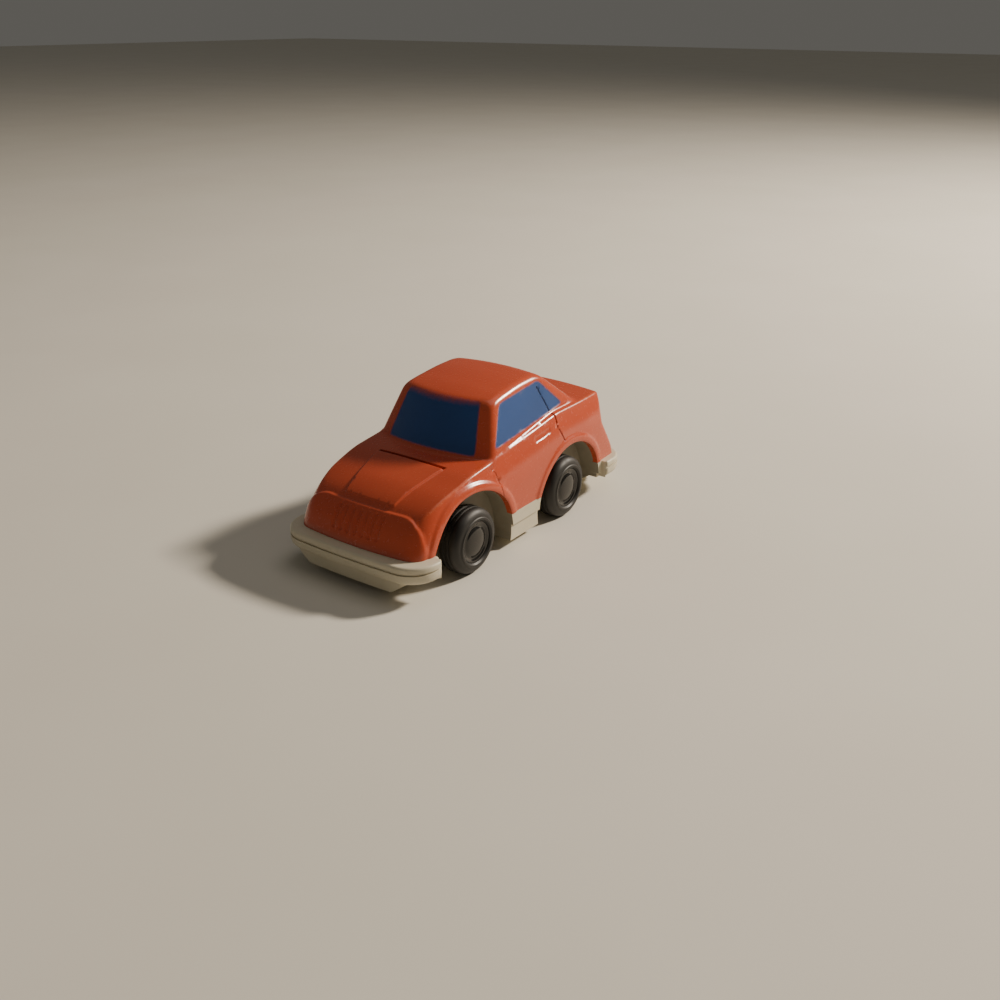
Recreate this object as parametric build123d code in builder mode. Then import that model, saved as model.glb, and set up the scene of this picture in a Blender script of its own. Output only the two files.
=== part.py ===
from build123d import *
import os
from math import acos, atan2, cos, degrees, pi, radians, sin, sqrt, tan

# A toy pull-back saloon car of about 3 inches: a moulded body shell on a tray chassis with bumpers,
# two steel axles with two-piece wheels, and a spring motor that is wound by rolling the car backwards.
#
# The origin is on the ground under the middle of the car. The nose points to -Y, +X is the car's left
# side and +Z is up. Sizes are in millimetres.

# ---- overall sizes ----
wheelbase = 34.0
front_overhang = 20.0  # front axle to the face of the front bumper
rear_overhang = 25.4  # rear axle to the face of the rear bumper
bumper_half_width = 18.5
body_half_width = 17.2
tyre_radius = 7.0
tray_hang = 5.3  # how far the underside of the tray is below the axles
tray_height = 6.5  # underside of the tray to the seam between tray and body shell
belt_rise = 16.2  # the seam to the crease under the side windows, at the rear deck
roof_rise = 9.3  # that crease to the roof

axle_height = tyre_radius
ground_clearance = axle_height - tray_hang
body_bottom = ground_clearance + tray_height
belt_height = body_bottom + belt_rise
roof_height = belt_height + roof_rise
car_length = front_overhang + wheelbase + rear_overhang
nose_y = -car_length / 2
tail_y = car_length / 2
front_axle_y = nose_y + front_overhang
rear_axle_y = tail_y - rear_overhang

# ---- walls, fits and small features ----
shell_wall = 1.2
tray_wall = 1.2
tray_fit = 0.15  # gap between the tray's inner walls and the inside of the body shell
running_gap = 0.05  # radial play of an axle or arbor in its bearing
side_gap = 0.3  # end play beside anything that turns
hold_down_gap = 0.1  # what the shell's ribs leave above the motor
rib_width = 1.2
hold_down_length = 10.0
motor_rib_length = 12.0
motor_rib_height = 3.0

# ---- body shell ----
bumper_step = 2.8  # how far the bumpers stand out beyond the shell's ends
corner_radius = 5.5  # nose and tail corners, seen from above
end_bow = 0.8  # how far the middle of the nose and tail stand out beyond their corners
bevel_in = 2.2  # band below the belt crease: across
bevel_drop = 3.0  # the same band: down
cabin_edge = 1.5
cabin_lean = radians(17.6)  # side glass from the vertical
cabin_half_base = 14.4  # half width of the cabin where it leaves the belt
cabin_base_drop = 1.2  # the belt crease to that place
cabin_foot_drop = 6.0  # how far the cabin reaches down into the body
windscreen_slope = radians(61)
groove_depth = 0.35
groove_width = 0.45
window_recess = 0.15
panel_rise = 0.25
flare_rise = 0.45
flare_width = 2.0
grille_slots = 7
grille_pitch = 2.0
grille_slot_width = 0.7

# ---- the body seen from the side: setbacks from the bumpers' faces, drops from the belt crease ----
brow_back = 8.1  # the edge between nose and hood
brow_drop = 7.9
nose_bulge_back = 4.6  # the fullest point of the nose
nose_bulge_rise = 4.4  # above the seam
hood_middle_ahead = 4.8  # the middle of the hood's curve, ahead of the front axle
hood_middle_drop = 5.7
cowl_behind = 5.4  # the hood's rear edge, behind the front axle
cowl_drop = 4.1
belt_level_ahead = 1.6  # where the belt crease levels out, ahead of the rear axle
deck_back = 8.1  # the rear deck's lip
waist_back = 8.7  # the tail's hollow under the lip
waist_drop = 6.6
hip_back = 6.0
hip_drop = 10.3
tail_foot_back = 2.3
tail_step = 2.0  # how far the rear bumper stands out beyond the tail
screen_behind = 6.8  # the windscreen's foot, behind the front axle
screen_top_drop = 2.0  # the roof to the windscreen's top edge
roof_middle_behind = 22.5  # the middle of the roof's curve, behind the front axle
roof_middle_drop = 0.3
roof_rear_ahead = 2.6  # the roof's rear edge, ahead of the rear axle
rear_screen_back = 13.5  # the rear window's foot
rear_screen_drop = 0.8

# ---- wheel arches and wells ----
front_arch_radius = 12.8
rear_arch_radius = 12.4
front_arch_centre = (front_axle_y + 0.85, axle_height - 2.8)
rear_arch_centre = (rear_axle_y + 1.9, axle_height - 2.6)
arches = ((front_arch_centre, front_arch_radius), (rear_arch_centre, rear_arch_radius))

# ---- wheels and axles ----
tyre_width = 5.0
tyre_shoulder = 1.1
rim_radius = 4.4
bead_height = 0.3  # the ridge round the hub that keeps the tyre on
bead_width = 1.4
wheel_outer_x = 17.9
hub_dome_radius = 2.4
axle_radius = 0.75
wheel_inner_x = wheel_outer_x - tyre_width
well_wall_x = wheel_inner_x - 0.9  # outer face of the wall that carries the axle
axle_half_length = wheel_outer_x - 1.4

# ---- screws ----
screw_places = ((0, nose_y + 9.2), (0, tail_y - 9.4))
screw_radius = 0.9
screw_head_radius = 1.9
screw_head_height = 1.3
screw_length = 9.0
screw_slot_length = 2.2
screw_slot_width = 0.5
screw_slot_depth = 0.7
screw_seat_height = ground_clearance + 1.9
post_foot = screw_seat_height + tray_wall  # where the shell's posts stand on the tray's bosses
post_radius = 2.2

# ---- spring motor ----
module = 0.4
pressure_angle = radians(25)
addendum = 0.8 * module
dedendum = 1.1 * module
backlash = 0.12
pinion_teeth = 10
reduction_teeth = 24
spring_gear_teeth = 32
gear_width = 2.0
case_wall = 1.0
reduction_floor_gap = 0.38
spring_floor_gap = 0.58
case_half_width = 9.0
case_corner_radius = 2.5
pin_radius = 0.5
arbor_radius = 0.8
spring_strip = 0.13  # thickness of the spring steel
spring_pitch = 0.42  # from one turn to the next
spring_half_turns = 19
spring_width = 5.6

floor_top = ground_clearance + tray_wall
axle_place = (rear_axle_y, axle_height)
reduction_tip = module * reduction_teeth / 2 + addendum
spring_gear_tip = module * spring_gear_teeth / 2 + addendum
# Each gear clears the floor of the motor's case by its own gap.
reduction_rise = floor_top + case_wall + reduction_floor_gap + reduction_tip - axle_height
spring_rise = floor_top + case_wall + spring_floor_gap + spring_gear_tip - axle_height - reduction_rise
axle_to_reduction = module * (pinion_teeth + reduction_teeth) / 2
reduction_to_spring = module * (pinion_teeth + spring_gear_teeth) / 2
reduction_place = (
    axle_place[0] - sqrt(axle_to_reduction**2 - reduction_rise**2),
    axle_place[1] + reduction_rise,
)
spring_place = (
    reduction_place[0] - sqrt(reduction_to_spring**2 - spring_rise**2),
    reduction_place[1] + spring_rise,
)
to_reduction = degrees(atan2(reduction_rise, reduction_place[0] - axle_place[0]))
to_spring = degrees(atan2(spring_rise, spring_place[0] - reduction_place[0]))

# Along X: the spring lies right of the middle, the spring gear beside it, the axle's pinion outermost.
spring_gear_x = 0.6
reduction_x = spring_gear_x + gear_width + 2 * side_gap

os.makedirs("parts", exist_ok=True)


def save(builder, name):
    """Label the finished piece and write it as its own STEP file."""
    builder.part.label = name
    export_step(builder.part, f"parts/{name}.step")


# ---- the car's outer form, used for the shell, its hollow and everything that fits them ----


def side_view(plane, drop, inset, bottom):
    """The lower body seen from the side, its top edge lowered by drop and the whole drawn in by inset."""
    nose_foot = (nose_y + bumper_step, bottom)
    nose_bulge = (nose_y + nose_bulge_back, body_bottom + nose_bulge_rise - drop / 3)
    nose_brow = (nose_y + brow_back, belt_height - brow_drop - drop)
    hood_middle = (front_axle_y - hood_middle_ahead, belt_height - hood_middle_drop - drop)
    cowl = (front_axle_y + cowl_behind, belt_height - cowl_drop - drop)
    belt_level = (rear_axle_y - belt_level_ahead, belt_height - drop)
    deck_lip = (tail_y - deck_back, belt_height - drop)
    tail_waist = (tail_y - waist_back, belt_height - waist_drop)
    tail_hip = (tail_y - hip_back, belt_height - hip_drop)
    tail_foot = (tail_y - tail_foot_back, bottom)
    with BuildSketch(plane) as view:
        with BuildLine():
            ThreePointArc(nose_foot, nose_bulge, nose_brow)
            ThreePointArc(nose_brow, hood_middle, cowl)
            Polyline(cowl, belt_level, deck_lip)
            ThreePointArc(deck_lip, tail_waist, tail_hip)
            Polyline(tail_hip, tail_foot, nose_foot)
        make_face()
        if inset:
            offset(amount=-inset)
    return view.sketch


def plan_view(height, inset, half_width):
    """The body's outline from above, with bowed ends and rounded corners."""
    nose = nose_y + bumper_step
    tail = tail_y - tail_step
    with BuildSketch(Plane.XY.offset(height)) as view:
        with BuildLine():
            ThreePointArc((-half_width, nose + end_bow), (0, nose), (half_width, nose + end_bow))
            Polyline((half_width, nose + end_bow), (half_width, tail - end_bow))
            ThreePointArc((half_width, tail - end_bow), (0, tail), (-half_width, tail - end_bow))
            Polyline((-half_width, tail - end_bow), (-half_width, nose + end_bow))
        make_face()
        fillet(view.vertices(), radius=corner_radius)
        if inset:
            offset(amount=-inset)
    return view.sketch


def lower_form(inset, bottom):
    """The body below the windows: a bevelled slab in side view, trimmed to the plan view."""
    flat_x = body_half_width - bevel_in - inset / 2
    side_x = body_half_width - inset
    middle = side_view(Plane.YZ, 0, inset, bottom)
    bevels = [
        (
            side_view(Plane.YZ.offset(side * flat_x), 0, inset, bottom).face(),
            side_view(Plane.YZ.offset(side * side_x), bevel_drop, inset, bottom).face(),
        )
        for side in (-1, 1)
    ]
    outline = plan_view(bottom, inset, body_half_width)
    with BuildPart() as form:
        extrude(middle, amount=flat_x, both=True)
        for top, foot in bevels:
            loft([top, foot], ruled=True)
        extrude(outline, amount=roof_height, mode=Mode.INTERSECT)
    return form.part


def cabin_form(inset):
    """The windows and roof: a leaning wedge with rounded pillars."""
    foot_z = belt_height - cabin_foot_drop
    top_z = roof_height - screen_top_drop
    screen_foot = (front_axle_y + screen_behind, foot_z)
    screen_top = (screen_foot[0] + (top_z - foot_z) / tan(windscreen_slope), top_z)
    roof_middle = (front_axle_y + roof_middle_behind, roof_height - roof_middle_drop)
    roof_rear = (rear_axle_y - roof_rear_ahead, roof_height)
    rear_foot = (tail_y - rear_screen_back, belt_height - rear_screen_drop)
    base_z = belt_height - cabin_base_drop
    half_top = cabin_half_base - (roof_height - base_z) * tan(cabin_lean)
    half_foot = cabin_half_base + (base_z - foot_z) * tan(cabin_lean)
    with BuildPart() as form:
        with BuildSketch(Plane.YZ):
            with BuildLine():
                Line(screen_foot, screen_top)
                ThreePointArc(screen_top, roof_middle, roof_rear)
                Polyline(roof_rear, rear_foot, (rear_foot[0], foot_z), screen_foot)
            make_face()
            if inset:
                offset(amount=-inset)
        extrude(amount=body_half_width, both=True)
        with BuildSketch(Plane.XZ):
            Polygon(
                (-half_foot, foot_z),
                (half_foot, foot_z),
                (half_top, roof_height),
                (-half_top, roof_height),
                align=None,
            )
            if inset:
                offset(amount=-inset)
        extrude(amount=car_length, both=True, mode=Mode.INTERSECT)
        rim = form.edges().filter_by(lambda e: e.center().Z > belt_height + 1)
        fillet(rim, radius=max(cabin_edge - inset, 0.3))
    return form.part


def car_form(inset, bottom):
    """The whole outer form, drawn in by inset, from the height bottom up."""
    lower = lower_form(inset, bottom)
    cabin = cabin_form(inset)
    with BuildPart() as form:
        add(lower)
        add(cabin)
    return form.part


# ---- body shell ----


def arch_discs(extra):
    """Both wheel arches' circles in the side view, made larger by extra."""
    with BuildSketch(Plane.YZ) as discs:
        for centre, radius in arches:
            with Locations(centre):
                Circle(radius + extra)
    return discs.sketch


def middle_strip(half_width):
    """A box down the middle of the car, as wide as the space between the wheels."""
    with BuildPart() as strip:
        with BuildSketch():
            Rectangle(2 * half_width, 2 * car_length)
        extrude(amount=2 * roof_height)
    return strip.part


strip_between_wheels = middle_strip(well_wall_x)

outer_form = car_form(0, body_bottom)
hollow_form = car_form(shell_wall, body_bottom - 2 * shell_wall)
window_floor = car_form(window_recess, body_bottom - window_recess)
groove_floor = car_form(groove_depth, body_bottom - groove_depth)
flare_skin = lower_form(-flare_rise, body_bottom)
panel_skin = lower_form(-panel_rise, body_bottom)
post_limit = car_form(shell_wall / 2, -shell_wall)
arch_cuts = arch_discs(0)
flare_discs = arch_discs(flare_width)

# The flares are rings round the arches that stand proud of the sides.
with BuildPart() as flares:
    extrude(flare_discs, amount=2 * body_half_width, both=True)
    add(flare_skin, mode=Mode.INTERSECT)
    add(strip_between_wheels, mode=Mode.SUBTRACT)

# The hood panel is a raised trapezium that widens towards the windscreen.
hood_rear_y = front_axle_y + 1.2
hood_front_y = nose_y + 8.3
hood_rear_half = 8.7
hood_front_half = 6.5
with BuildPart() as hood_panel:
    with BuildSketch(Plane.XY.offset(belt_height / 2)):
        Polygon(
            (-hood_front_half, hood_front_y),
            (hood_front_half, hood_front_y),
            (hood_rear_half, hood_rear_y),
            (-hood_rear_half, hood_rear_y),
            align=None,
        )
    extrude(amount=roof_height)
    add(panel_skin, mode=Mode.INTERSECT)

# Windows are shallow recesses in the shell: front, rear and one on each side.
glass_foot = belt_height - 2.6
glass_top = roof_height - 2.7
screen_foot_half = 11.6
screen_top_half = 9.3
side_glass = (
    (front_axle_y + 11.0, belt_height - 2.3),
    (front_axle_y + 15.9, glass_top),
    (rear_axle_y - 3.7, glass_top + 1.2),
    (rear_axle_y + 3.6, belt_height + 0.5),
)
with BuildPart() as window_cuts:
    with BuildSketch(Plane.XZ) as front_glass:
        Polygon(
            (-screen_foot_half, glass_foot),
            (screen_foot_half, glass_foot),
            (screen_top_half, glass_top),
            (-screen_top_half, glass_top),
            align=None,
        )
        fillet(front_glass.vertices(), radius=0.8)
    extrude(amount=car_length / 2)
    with BuildSketch(Plane.XZ.offset(-rear_axle_y)) as rear_glass:
        Polygon(
            (-screen_foot_half, belt_height + 2),
            (screen_foot_half, belt_height + 2),
            (screen_top_half, glass_top + 0.8),
            (-screen_top_half, glass_top + 0.8),
            align=None,
        )
        fillet(rear_glass.vertices(), radius=0.8)
    extrude(amount=-car_length / 2)
    with BuildSketch(Plane.YZ) as door_glass:
        Polygon(*side_glass, align=None)
        fillet(door_glass.vertices(), radius=0.8)
    extrude(amount=body_half_width, both=True)
    add(window_floor, mode=Mode.SUBTRACT)

# Grooves: door shut lines, the slot behind the hood panel and the grille.
door_line = (
    (rear_axle_y - 4.8, roof_height - 3.4),
    (rear_axle_y - 2.5, belt_height + 0.5),
    (rear_axle_y - 2.4, belt_height - 3.0),
    (rear_axle_y - 3.6, belt_height - 7.6),
)
wing_line = (
    (front_axle_y + 11.0, belt_height - 4.2),
    (front_axle_y + 11.6, belt_height - 7.0),
    (front_axle_y + 12.6, belt_height - 11.0),
)
grille_foot = body_bottom + 1.6
grille_top = belt_height - 9.4
hood_slot_width = 0.7
with BuildPart() as groove_cuts:
    with BuildSketch(Plane.YZ):
        for line in (door_line, wing_line):
            with BuildLine():
                Polyline(*line)
            trace(line_width=groove_width)
    extrude(amount=body_half_width + 1, both=True)
    with BuildSketch(Plane.XZ.offset(-nose_y - 8)):
        with Locations((0, (grille_foot + grille_top) / 2)):
            with GridLocations(grille_pitch, 0, grille_slots, 1):
                Rectangle(grille_slot_width, grille_top - grille_foot)
    extrude(amount=9)
    with BuildSketch(Plane.XY.offset(belt_height - 8)):
        with Locations((0, hood_rear_y + hood_slot_width / 2)):
            Rectangle(2 * hood_rear_half, hood_slot_width)
    extrude(amount=7)
    add(groove_floor, mode=Mode.SUBTRACT)

motor_top = spring_place[1] + spring_gear_tip + side_gap + case_wall
# Posts for the screws, and ribs that hold the motor down.
with BuildPart() as inner_posts:
    with BuildSketch(Plane.XY.offset(post_foot)):
        with Locations(*screw_places):
            Circle(post_radius)
    extrude(amount=roof_height)
    with BuildSketch(Plane.XY.offset(motor_top + hold_down_gap)):
        with Locations((0, spring_place[0]), (0, reduction_place[0])):
            Rectangle(hold_down_length, rib_width)
    extrude(amount=roof_height)
    add(post_limit, mode=Mode.INTERSECT)

with BuildPart() as body_shell:
    add(outer_form)
    add(flares.part)
    add(hood_panel.part)
    add(hollow_form, mode=Mode.SUBTRACT)
    extrude(arch_cuts, amount=2 * body_half_width, both=True, mode=Mode.SUBTRACT)
    add(window_cuts.part, mode=Mode.SUBTRACT)
    add(groove_cuts.part, mode=Mode.SUBTRACT)
    add(inner_posts.part)
    with BuildSketch(Plane.XY.offset(post_foot)):
        with Locations(*screw_places):
            Circle(screw_radius)
    extrude(amount=screw_length, mode=Mode.SUBTRACT)
save(body_shell, "body_shell")


# ---- tray chassis with bumpers, sills and wheel wells ----
sill_step_height = ground_clearance + 3.7
sill_foot_inset = 0.7
bumper_foot = ground_clearance + 2.6
bumper_end_y = front_axle_y - 11.9
rear_bumper_end_y = rear_arch_centre[0] + 13.6
bumper_corner_radius = 6.5
bumper_groove_height = ground_clearance + 4.8
bumper_groove_width = 0.5
valance_inset = 1.2  # how far the valances are set back from the bumpers' faces
valance_half = 10.8
valance_slope_half = 14.5
well_wall = 1.0
well_limit_x = body_half_width - shell_wall - tray_fit
front_bearing_radius = axle_radius + running_gap
rear_slot_radius = axle_radius + 4 * running_gap
well_inner_x = well_wall_x - well_wall


def bumper_view(height, inset):
    """Both bumpers' outline from above, as one closed ring that goes round the car."""
    nose_corners = [(side * bumper_half_width, nose_y + end_bow) for side in (-1, 1)]
    tail_corners = [(side * bumper_half_width, tail_y - end_bow) for side in (-1, 1)]
    with BuildSketch(Plane.XY.offset(height)) as view:
        with BuildLine():
            ThreePointArc(nose_corners[0], (0, nose_y), nose_corners[1])
            Line(nose_corners[1], tail_corners[1])
            ThreePointArc(tail_corners[1], (0, tail_y), tail_corners[0])
            Line(tail_corners[0], nose_corners[0])
        make_face()
        fillet(view.vertices(), radius=bumper_corner_radius)
        if inset:
            offset(amount=-inset)
    return view.sketch


tray_outline = plan_view(ground_clearance, sill_foot_inset, body_half_width)
sill_outline = plan_view(sill_step_height, tray_fit, body_half_width)
tray_pocket = plan_view(floor_top, sill_foot_inset + tray_wall, body_half_width)
bumper_outline = bumper_view(bumper_foot, 0)
valance_outline = bumper_view(ground_clearance, valance_inset)
groove_outline = bumper_view(bumper_groove_height, 0)
groove_depth_outline = bumper_view(bumper_groove_height, groove_depth)
well_form = car_form(shell_wall + tray_fit, ground_clearance - shell_wall - tray_fit)
liner_discs = arch_discs(well_wall)

# The bumpers are the two ends of the ring, with a narrower valance under each.
with BuildPart() as between_bumpers:
    with BuildSketch(Plane.XY):
        middle_length = rear_bumper_end_y - bumper_end_y
        with Locations((0, bumper_end_y + middle_length / 2)):
            Rectangle(2 * car_length, middle_length)
    extrude(amount=roof_height)
with BuildPart() as bumpers:
    extrude(bumper_outline, amount=body_bottom - bumper_foot)
    add(between_bumpers.part, mode=Mode.SUBTRACT)
    end_faces = bumpers.faces().filter_by(Axis.Y).filter_by(lambda f: abs(f.center().Y) < tail_y - 3)
    fillet(end_faces.edges().filter_by(Axis.Z), radius=0.8)

with BuildPart() as valances:
    extrude(valance_outline, amount=bumper_foot - ground_clearance)
    add(between_bumpers.part, mode=Mode.SUBTRACT)

with BuildPart() as bumper_grooves:
    extrude(groove_outline, amount=bumper_groove_width)
    extrude(groove_depth_outline, amount=bumper_groove_width, mode=Mode.SUBTRACT)

# The valances' ends slope up to the bumpers.
with BuildPart() as valance_cuts:
    with BuildSketch(Plane.XZ):
        for side in (-1, 1):
            Polygon(
                (side * valance_half, ground_clearance),
                (side * valance_slope_half, bumper_foot),
                (side * 2 * body_half_width, bumper_foot),
                (side * 2 * body_half_width, 0),
                (side * valance_half, 0),
                align=None,
            )
    extrude(amount=car_length, both=True)
    with BuildSketch(Plane.XY):
        with Locations((0, (front_arch_centre[0] + rear_arch_centre[0]) / 2)):
            Rectangle(2 * car_length, rear_arch_centre[0] - front_arch_centre[0])
    extrude(amount=roof_height, mode=Mode.SUBTRACT)

# Wheel wells: a lining that follows each arch, and an inner wall with the axle's slot.
with BuildPart() as wells:
    extrude(liner_discs, amount=well_limit_x, both=True)
    with BuildSketch(Plane.XY):
        Rectangle(2 * well_inner_x, 2 * car_length)
    extrude(amount=2 * roof_height, mode=Mode.SUBTRACT)
    add(well_form, mode=Mode.INTERSECT)
with BuildPart() as well_hollows:
    extrude(arch_cuts, amount=2 * body_half_width, both=True)
    add(strip_between_wheels, mode=Mode.SUBTRACT)

# The front axle is pushed through two round bearings; the rear one drops into slots with the motor.
with BuildPart() as axle_slots:
    with BuildSketch(Plane.YZ):
        with Locations((front_axle_y, axle_height)):
            Circle(front_bearing_radius)
        with Locations((rear_axle_y, axle_height)):
            Circle(rear_slot_radius)
        with Locations((rear_axle_y, axle_height + roof_height / 2)):
            Rectangle(2 * rear_slot_radius, roof_height)
    extrude(amount=wheel_inner_x, both=True)

motor_front_y = spring_place[0] - (motor_top - spring_place[1])
motor_rear_y = rear_axle_y + module * pinion_teeth / 2 + addendum + side_gap + case_wall
with BuildPart() as chassis:
    extrude(tray_outline, amount=body_bottom - ground_clearance)
    extrude(sill_outline, amount=body_bottom - sill_step_height)
    add(bumpers.part)
    add(valances.part)
    extrude(tray_pocket, amount=roof_height, mode=Mode.SUBTRACT)
    add(wells.part)
    add(valance_cuts.part, mode=Mode.SUBTRACT)
    add(well_hollows.part, mode=Mode.SUBTRACT)
    add(bumper_grooves.part, mode=Mode.SUBTRACT)
    # ribs that locate the motor
    with BuildSketch(Plane.XY.offset(floor_top)):
        rib_offset = rib_width / 2 + tray_fit
        with Locations((0, motor_front_y - rib_offset), (0, motor_rear_y + rib_offset)):
            Rectangle(motor_rib_length, rib_width)
    extrude(amount=motor_rib_height)
    # bosses for the screws, with their heads sunk from below
    with BuildSketch(Plane.XY.offset(ground_clearance)):
        with Locations(*screw_places):
            Circle(screw_head_radius + tray_wall)
    extrude(amount=post_foot - ground_clearance)
    with BuildSketch(Plane.XY):
        with Locations(*screw_places):
            Circle(screw_head_radius + tray_fit)
    extrude(amount=screw_seat_height, mode=Mode.SUBTRACT)
    with BuildSketch(Plane.XY):
        with Locations(*screw_places):
            Circle(screw_radius + tray_fit)
    extrude(amount=roof_height / 2, mode=Mode.SUBTRACT)
    add(axle_slots.part, mode=Mode.SUBTRACT)
save(chassis, "chassis")

# ---- screws, one node ----
with BuildPart() as chassis_screws:
    with BuildSketch(Plane.XY.offset(screw_seat_height - screw_head_height)):
        with Locations(*screw_places):
            Circle(screw_head_radius)
    extrude(amount=screw_head_height)
    with BuildSketch(Plane.XY.offset(screw_seat_height)):
        with Locations(*screw_places):
            Circle(screw_radius)
    extrude(amount=screw_length)
    with BuildSketch(Plane.XY.offset(screw_seat_height - screw_head_height)):
        with Locations(*screw_places):
            Rectangle(screw_slot_length, screw_slot_width)
            Rectangle(screw_slot_width, screw_slot_length)
    extrude(amount=screw_slot_depth, mode=Mode.SUBTRACT)
save(chassis_screws, "chassis_screws")


# ---- axles and wheels ----
def axle(axle_y):
    """A plain steel axle with chamfered ends."""
    with BuildPart() as rod:
        with BuildSketch(Plane.YZ):
            with Locations((axle_y, axle_height)):
                Circle(axle_radius)
        extrude(amount=axle_half_length, both=True)
        chamfer(rod.edges().filter_by(GeomType.CIRCLE), length=0.15)
    return rod


rim_x = wheel_outer_x - 0.25
dish_x = wheel_outer_x - 1.3
hub_back_x = wheel_inner_x + 0.6
boss_radius = 1.7
bead_middle_x = (wheel_inner_x + wheel_outer_x) / 2
hub_profile = (
    (wheel_inner_x, axle_radius),
    (wheel_inner_x, boss_radius),
    (dish_x - 1.2, boss_radius),
    (dish_x - 1.2, rim_radius - 0.8),
    (hub_back_x, rim_radius - 0.8),
    (hub_back_x, rim_radius),
    (bead_middle_x - bead_width / 2, rim_radius),
    (bead_middle_x - bead_width / 2 + bead_height, rim_radius + bead_height),
    (bead_middle_x + bead_width / 2 - bead_height, rim_radius + bead_height),
    (bead_middle_x + bead_width / 2, rim_radius),
    (rim_x, rim_radius),
    (rim_x, rim_radius - 0.5),
    (dish_x, rim_radius - 0.8),
    (dish_x, hub_dome_radius),
    (wheel_outer_x - 0.5, hub_dome_radius - 0.3),
    (wheel_outer_x - 0.15, 0),
    (axle_half_length, 0),
    (axle_half_length, axle_radius),
)
tyre_profile = (
    (wheel_inner_x, rim_radius),
    (wheel_inner_x, tyre_radius),
    (wheel_outer_x, tyre_radius),
    (wheel_outer_x, rim_radius),
    (bead_middle_x + bead_width / 2, rim_radius),
    (bead_middle_x + bead_width / 2 - bead_height, rim_radius + bead_height),
    (bead_middle_x - bead_width / 2 + bead_height, rim_radius + bead_height),
    (bead_middle_x - bead_width / 2, rim_radius),
)


def wheel_ring(points, axle_y, side, tread):
    """A piece of a wheel, turned about its axle; a tread has rounded shoulders."""
    plane = Plane(origin=(0, axle_y, axle_height), x_dir=(side, 0, 0), z_dir=(0, -side, 0))
    with BuildPart() as ring:
        with BuildSketch(plane) as profile:
            Polygon(*points, align=None)
            if tread:
                fillet(profile.vertices().group_by(Axis.Y)[-1], radius=tyre_shoulder)
        revolve(axis=Axis((0, axle_y, axle_height), (1, 0, 0)))
    return ring


for end, axle_y in (("front", front_axle_y), ("rear", rear_axle_y)):
    save(axle(axle_y), f"{end}_axle")
    for side_name, side in (("left", 1), ("right", -1)):
        save(wheel_ring(hub_profile, axle_y, side, False), f"{end}_{side_name}_hub")
        save(wheel_ring(tyre_profile, axle_y, side, True), f"{end}_{side_name}_tyre")


# ---- spring motor ----
def cylinder_between(place, radius, start_x, end_x):
    """A plain pin or boss along X at a (y, z) place."""
    with BuildPart() as pin:
        with BuildSketch(Plane.YZ.offset(start_x)):
            with Locations(place):
                Circle(radius)
        extrude(amount=end_x - start_x)
    return pin.part


def flank_angle(teeth, radius):
    """Half the angle that one involute tooth takes up at a radius."""
    pitch_radius = module * teeth / 2
    base_radius = pitch_radius * cos(pressure_angle)
    half_at_pitch = (pi * module / 2 - backlash) / (2 * pitch_radius)
    roll = acos(min(1, base_radius / radius))
    return half_at_pitch + (tan(pressure_angle) - pressure_angle) - (tan(roll) - roll)


def gear_outline(teeth, place, start_x, turn):
    """A spur gear's outline across X, with one tooth pointing along the angle turn."""
    pitch_radius = module * teeth / 2
    tip = pitch_radius + addendum
    root = pitch_radius - dedendum
    flank_foot = max(root, pitch_radius * cos(pressure_angle))
    radii = (flank_foot, (flank_foot + tip) / 2, tip)
    upper = [(r * cos(flank_angle(teeth, r)), r * sin(flank_angle(teeth, r))) for r in radii]
    lower = [(x, -y) for x, y in upper]
    buried = (root * 0.9, upper[0][1])
    with BuildSketch() as tooth:
        with BuildLine():
            Line((buried[0], -buried[1]), lower[0])
            ThreePointArc(*lower)
            Line(lower[2], upper[2])
            ThreePointArc(*upper)
            Line(upper[0], buried)
            Line(buried, (buried[0], -buried[1]))
        make_face()
    with BuildSketch(Plane.YZ.offset(start_x)) as outline:
        with Locations(place):
            Circle(root)
            with PolarLocations(0, teeth, start_angle=turn):
                add(tooth.sketch)
    return outline.sketch


# A driven gear shows a gap where its driver shows a tooth, so it is turned by half a tooth more.
half_turn = 180
reduction_turn = to_reduction + half_turn + half_turn / reduction_teeth
spring_gear_turn = to_spring + half_turn + half_turn / spring_gear_teeth
pinion_width = gear_width + side_gap
small_pinion_width = reduction_x - spring_gear_x

axle_pinion_outline = gear_outline(pinion_teeth, axle_place, reduction_x - side_gap / 2, to_reduction)
with BuildPart() as axle_pinion:
    extrude(axle_pinion_outline, amount=pinion_width)
    add(cylinder_between(axle_place, axle_radius, -case_half_width, case_half_width), mode=Mode.SUBTRACT)
save(axle_pinion, "axle_pinion")

reduction_outline = gear_outline(reduction_teeth, reduction_place, reduction_x, reduction_turn)
small_pinion_outline = gear_outline(pinion_teeth, reduction_place, spring_gear_x, to_spring)
pin_bore = cylinder_between(reduction_place, pin_radius + running_gap, -case_half_width, case_half_width)
with BuildPart() as reduction_gear:
    extrude(reduction_outline, amount=gear_width)
    extrude(small_pinion_outline, amount=small_pinion_width)
    add(pin_bore, mode=Mode.SUBTRACT)
save(reduction_gear, "reduction_gear")

spring_gear_outline = gear_outline(spring_gear_teeth, spring_place, spring_gear_x, spring_gear_turn)
cavity_end_x = case_half_width - case_wall
arbor_rod = cylinder_between(spring_place, arbor_radius, -case_half_width, case_half_width)
spring_hub = cylinder_between(
    spring_place, 2 * arbor_radius, spring_gear_x + gear_width, cavity_end_x - side_gap
)
with BuildPart() as spring_gear:
    extrude(spring_gear_outline, amount=gear_width)
    add(spring_hub)
    add(arbor_rod, mode=Mode.SUBTRACT)
save(spring_gear, "spring_gear")

with BuildPart() as spring_arbor:
    add(arbor_rod)
save(spring_arbor, "spring_arbor")

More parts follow.
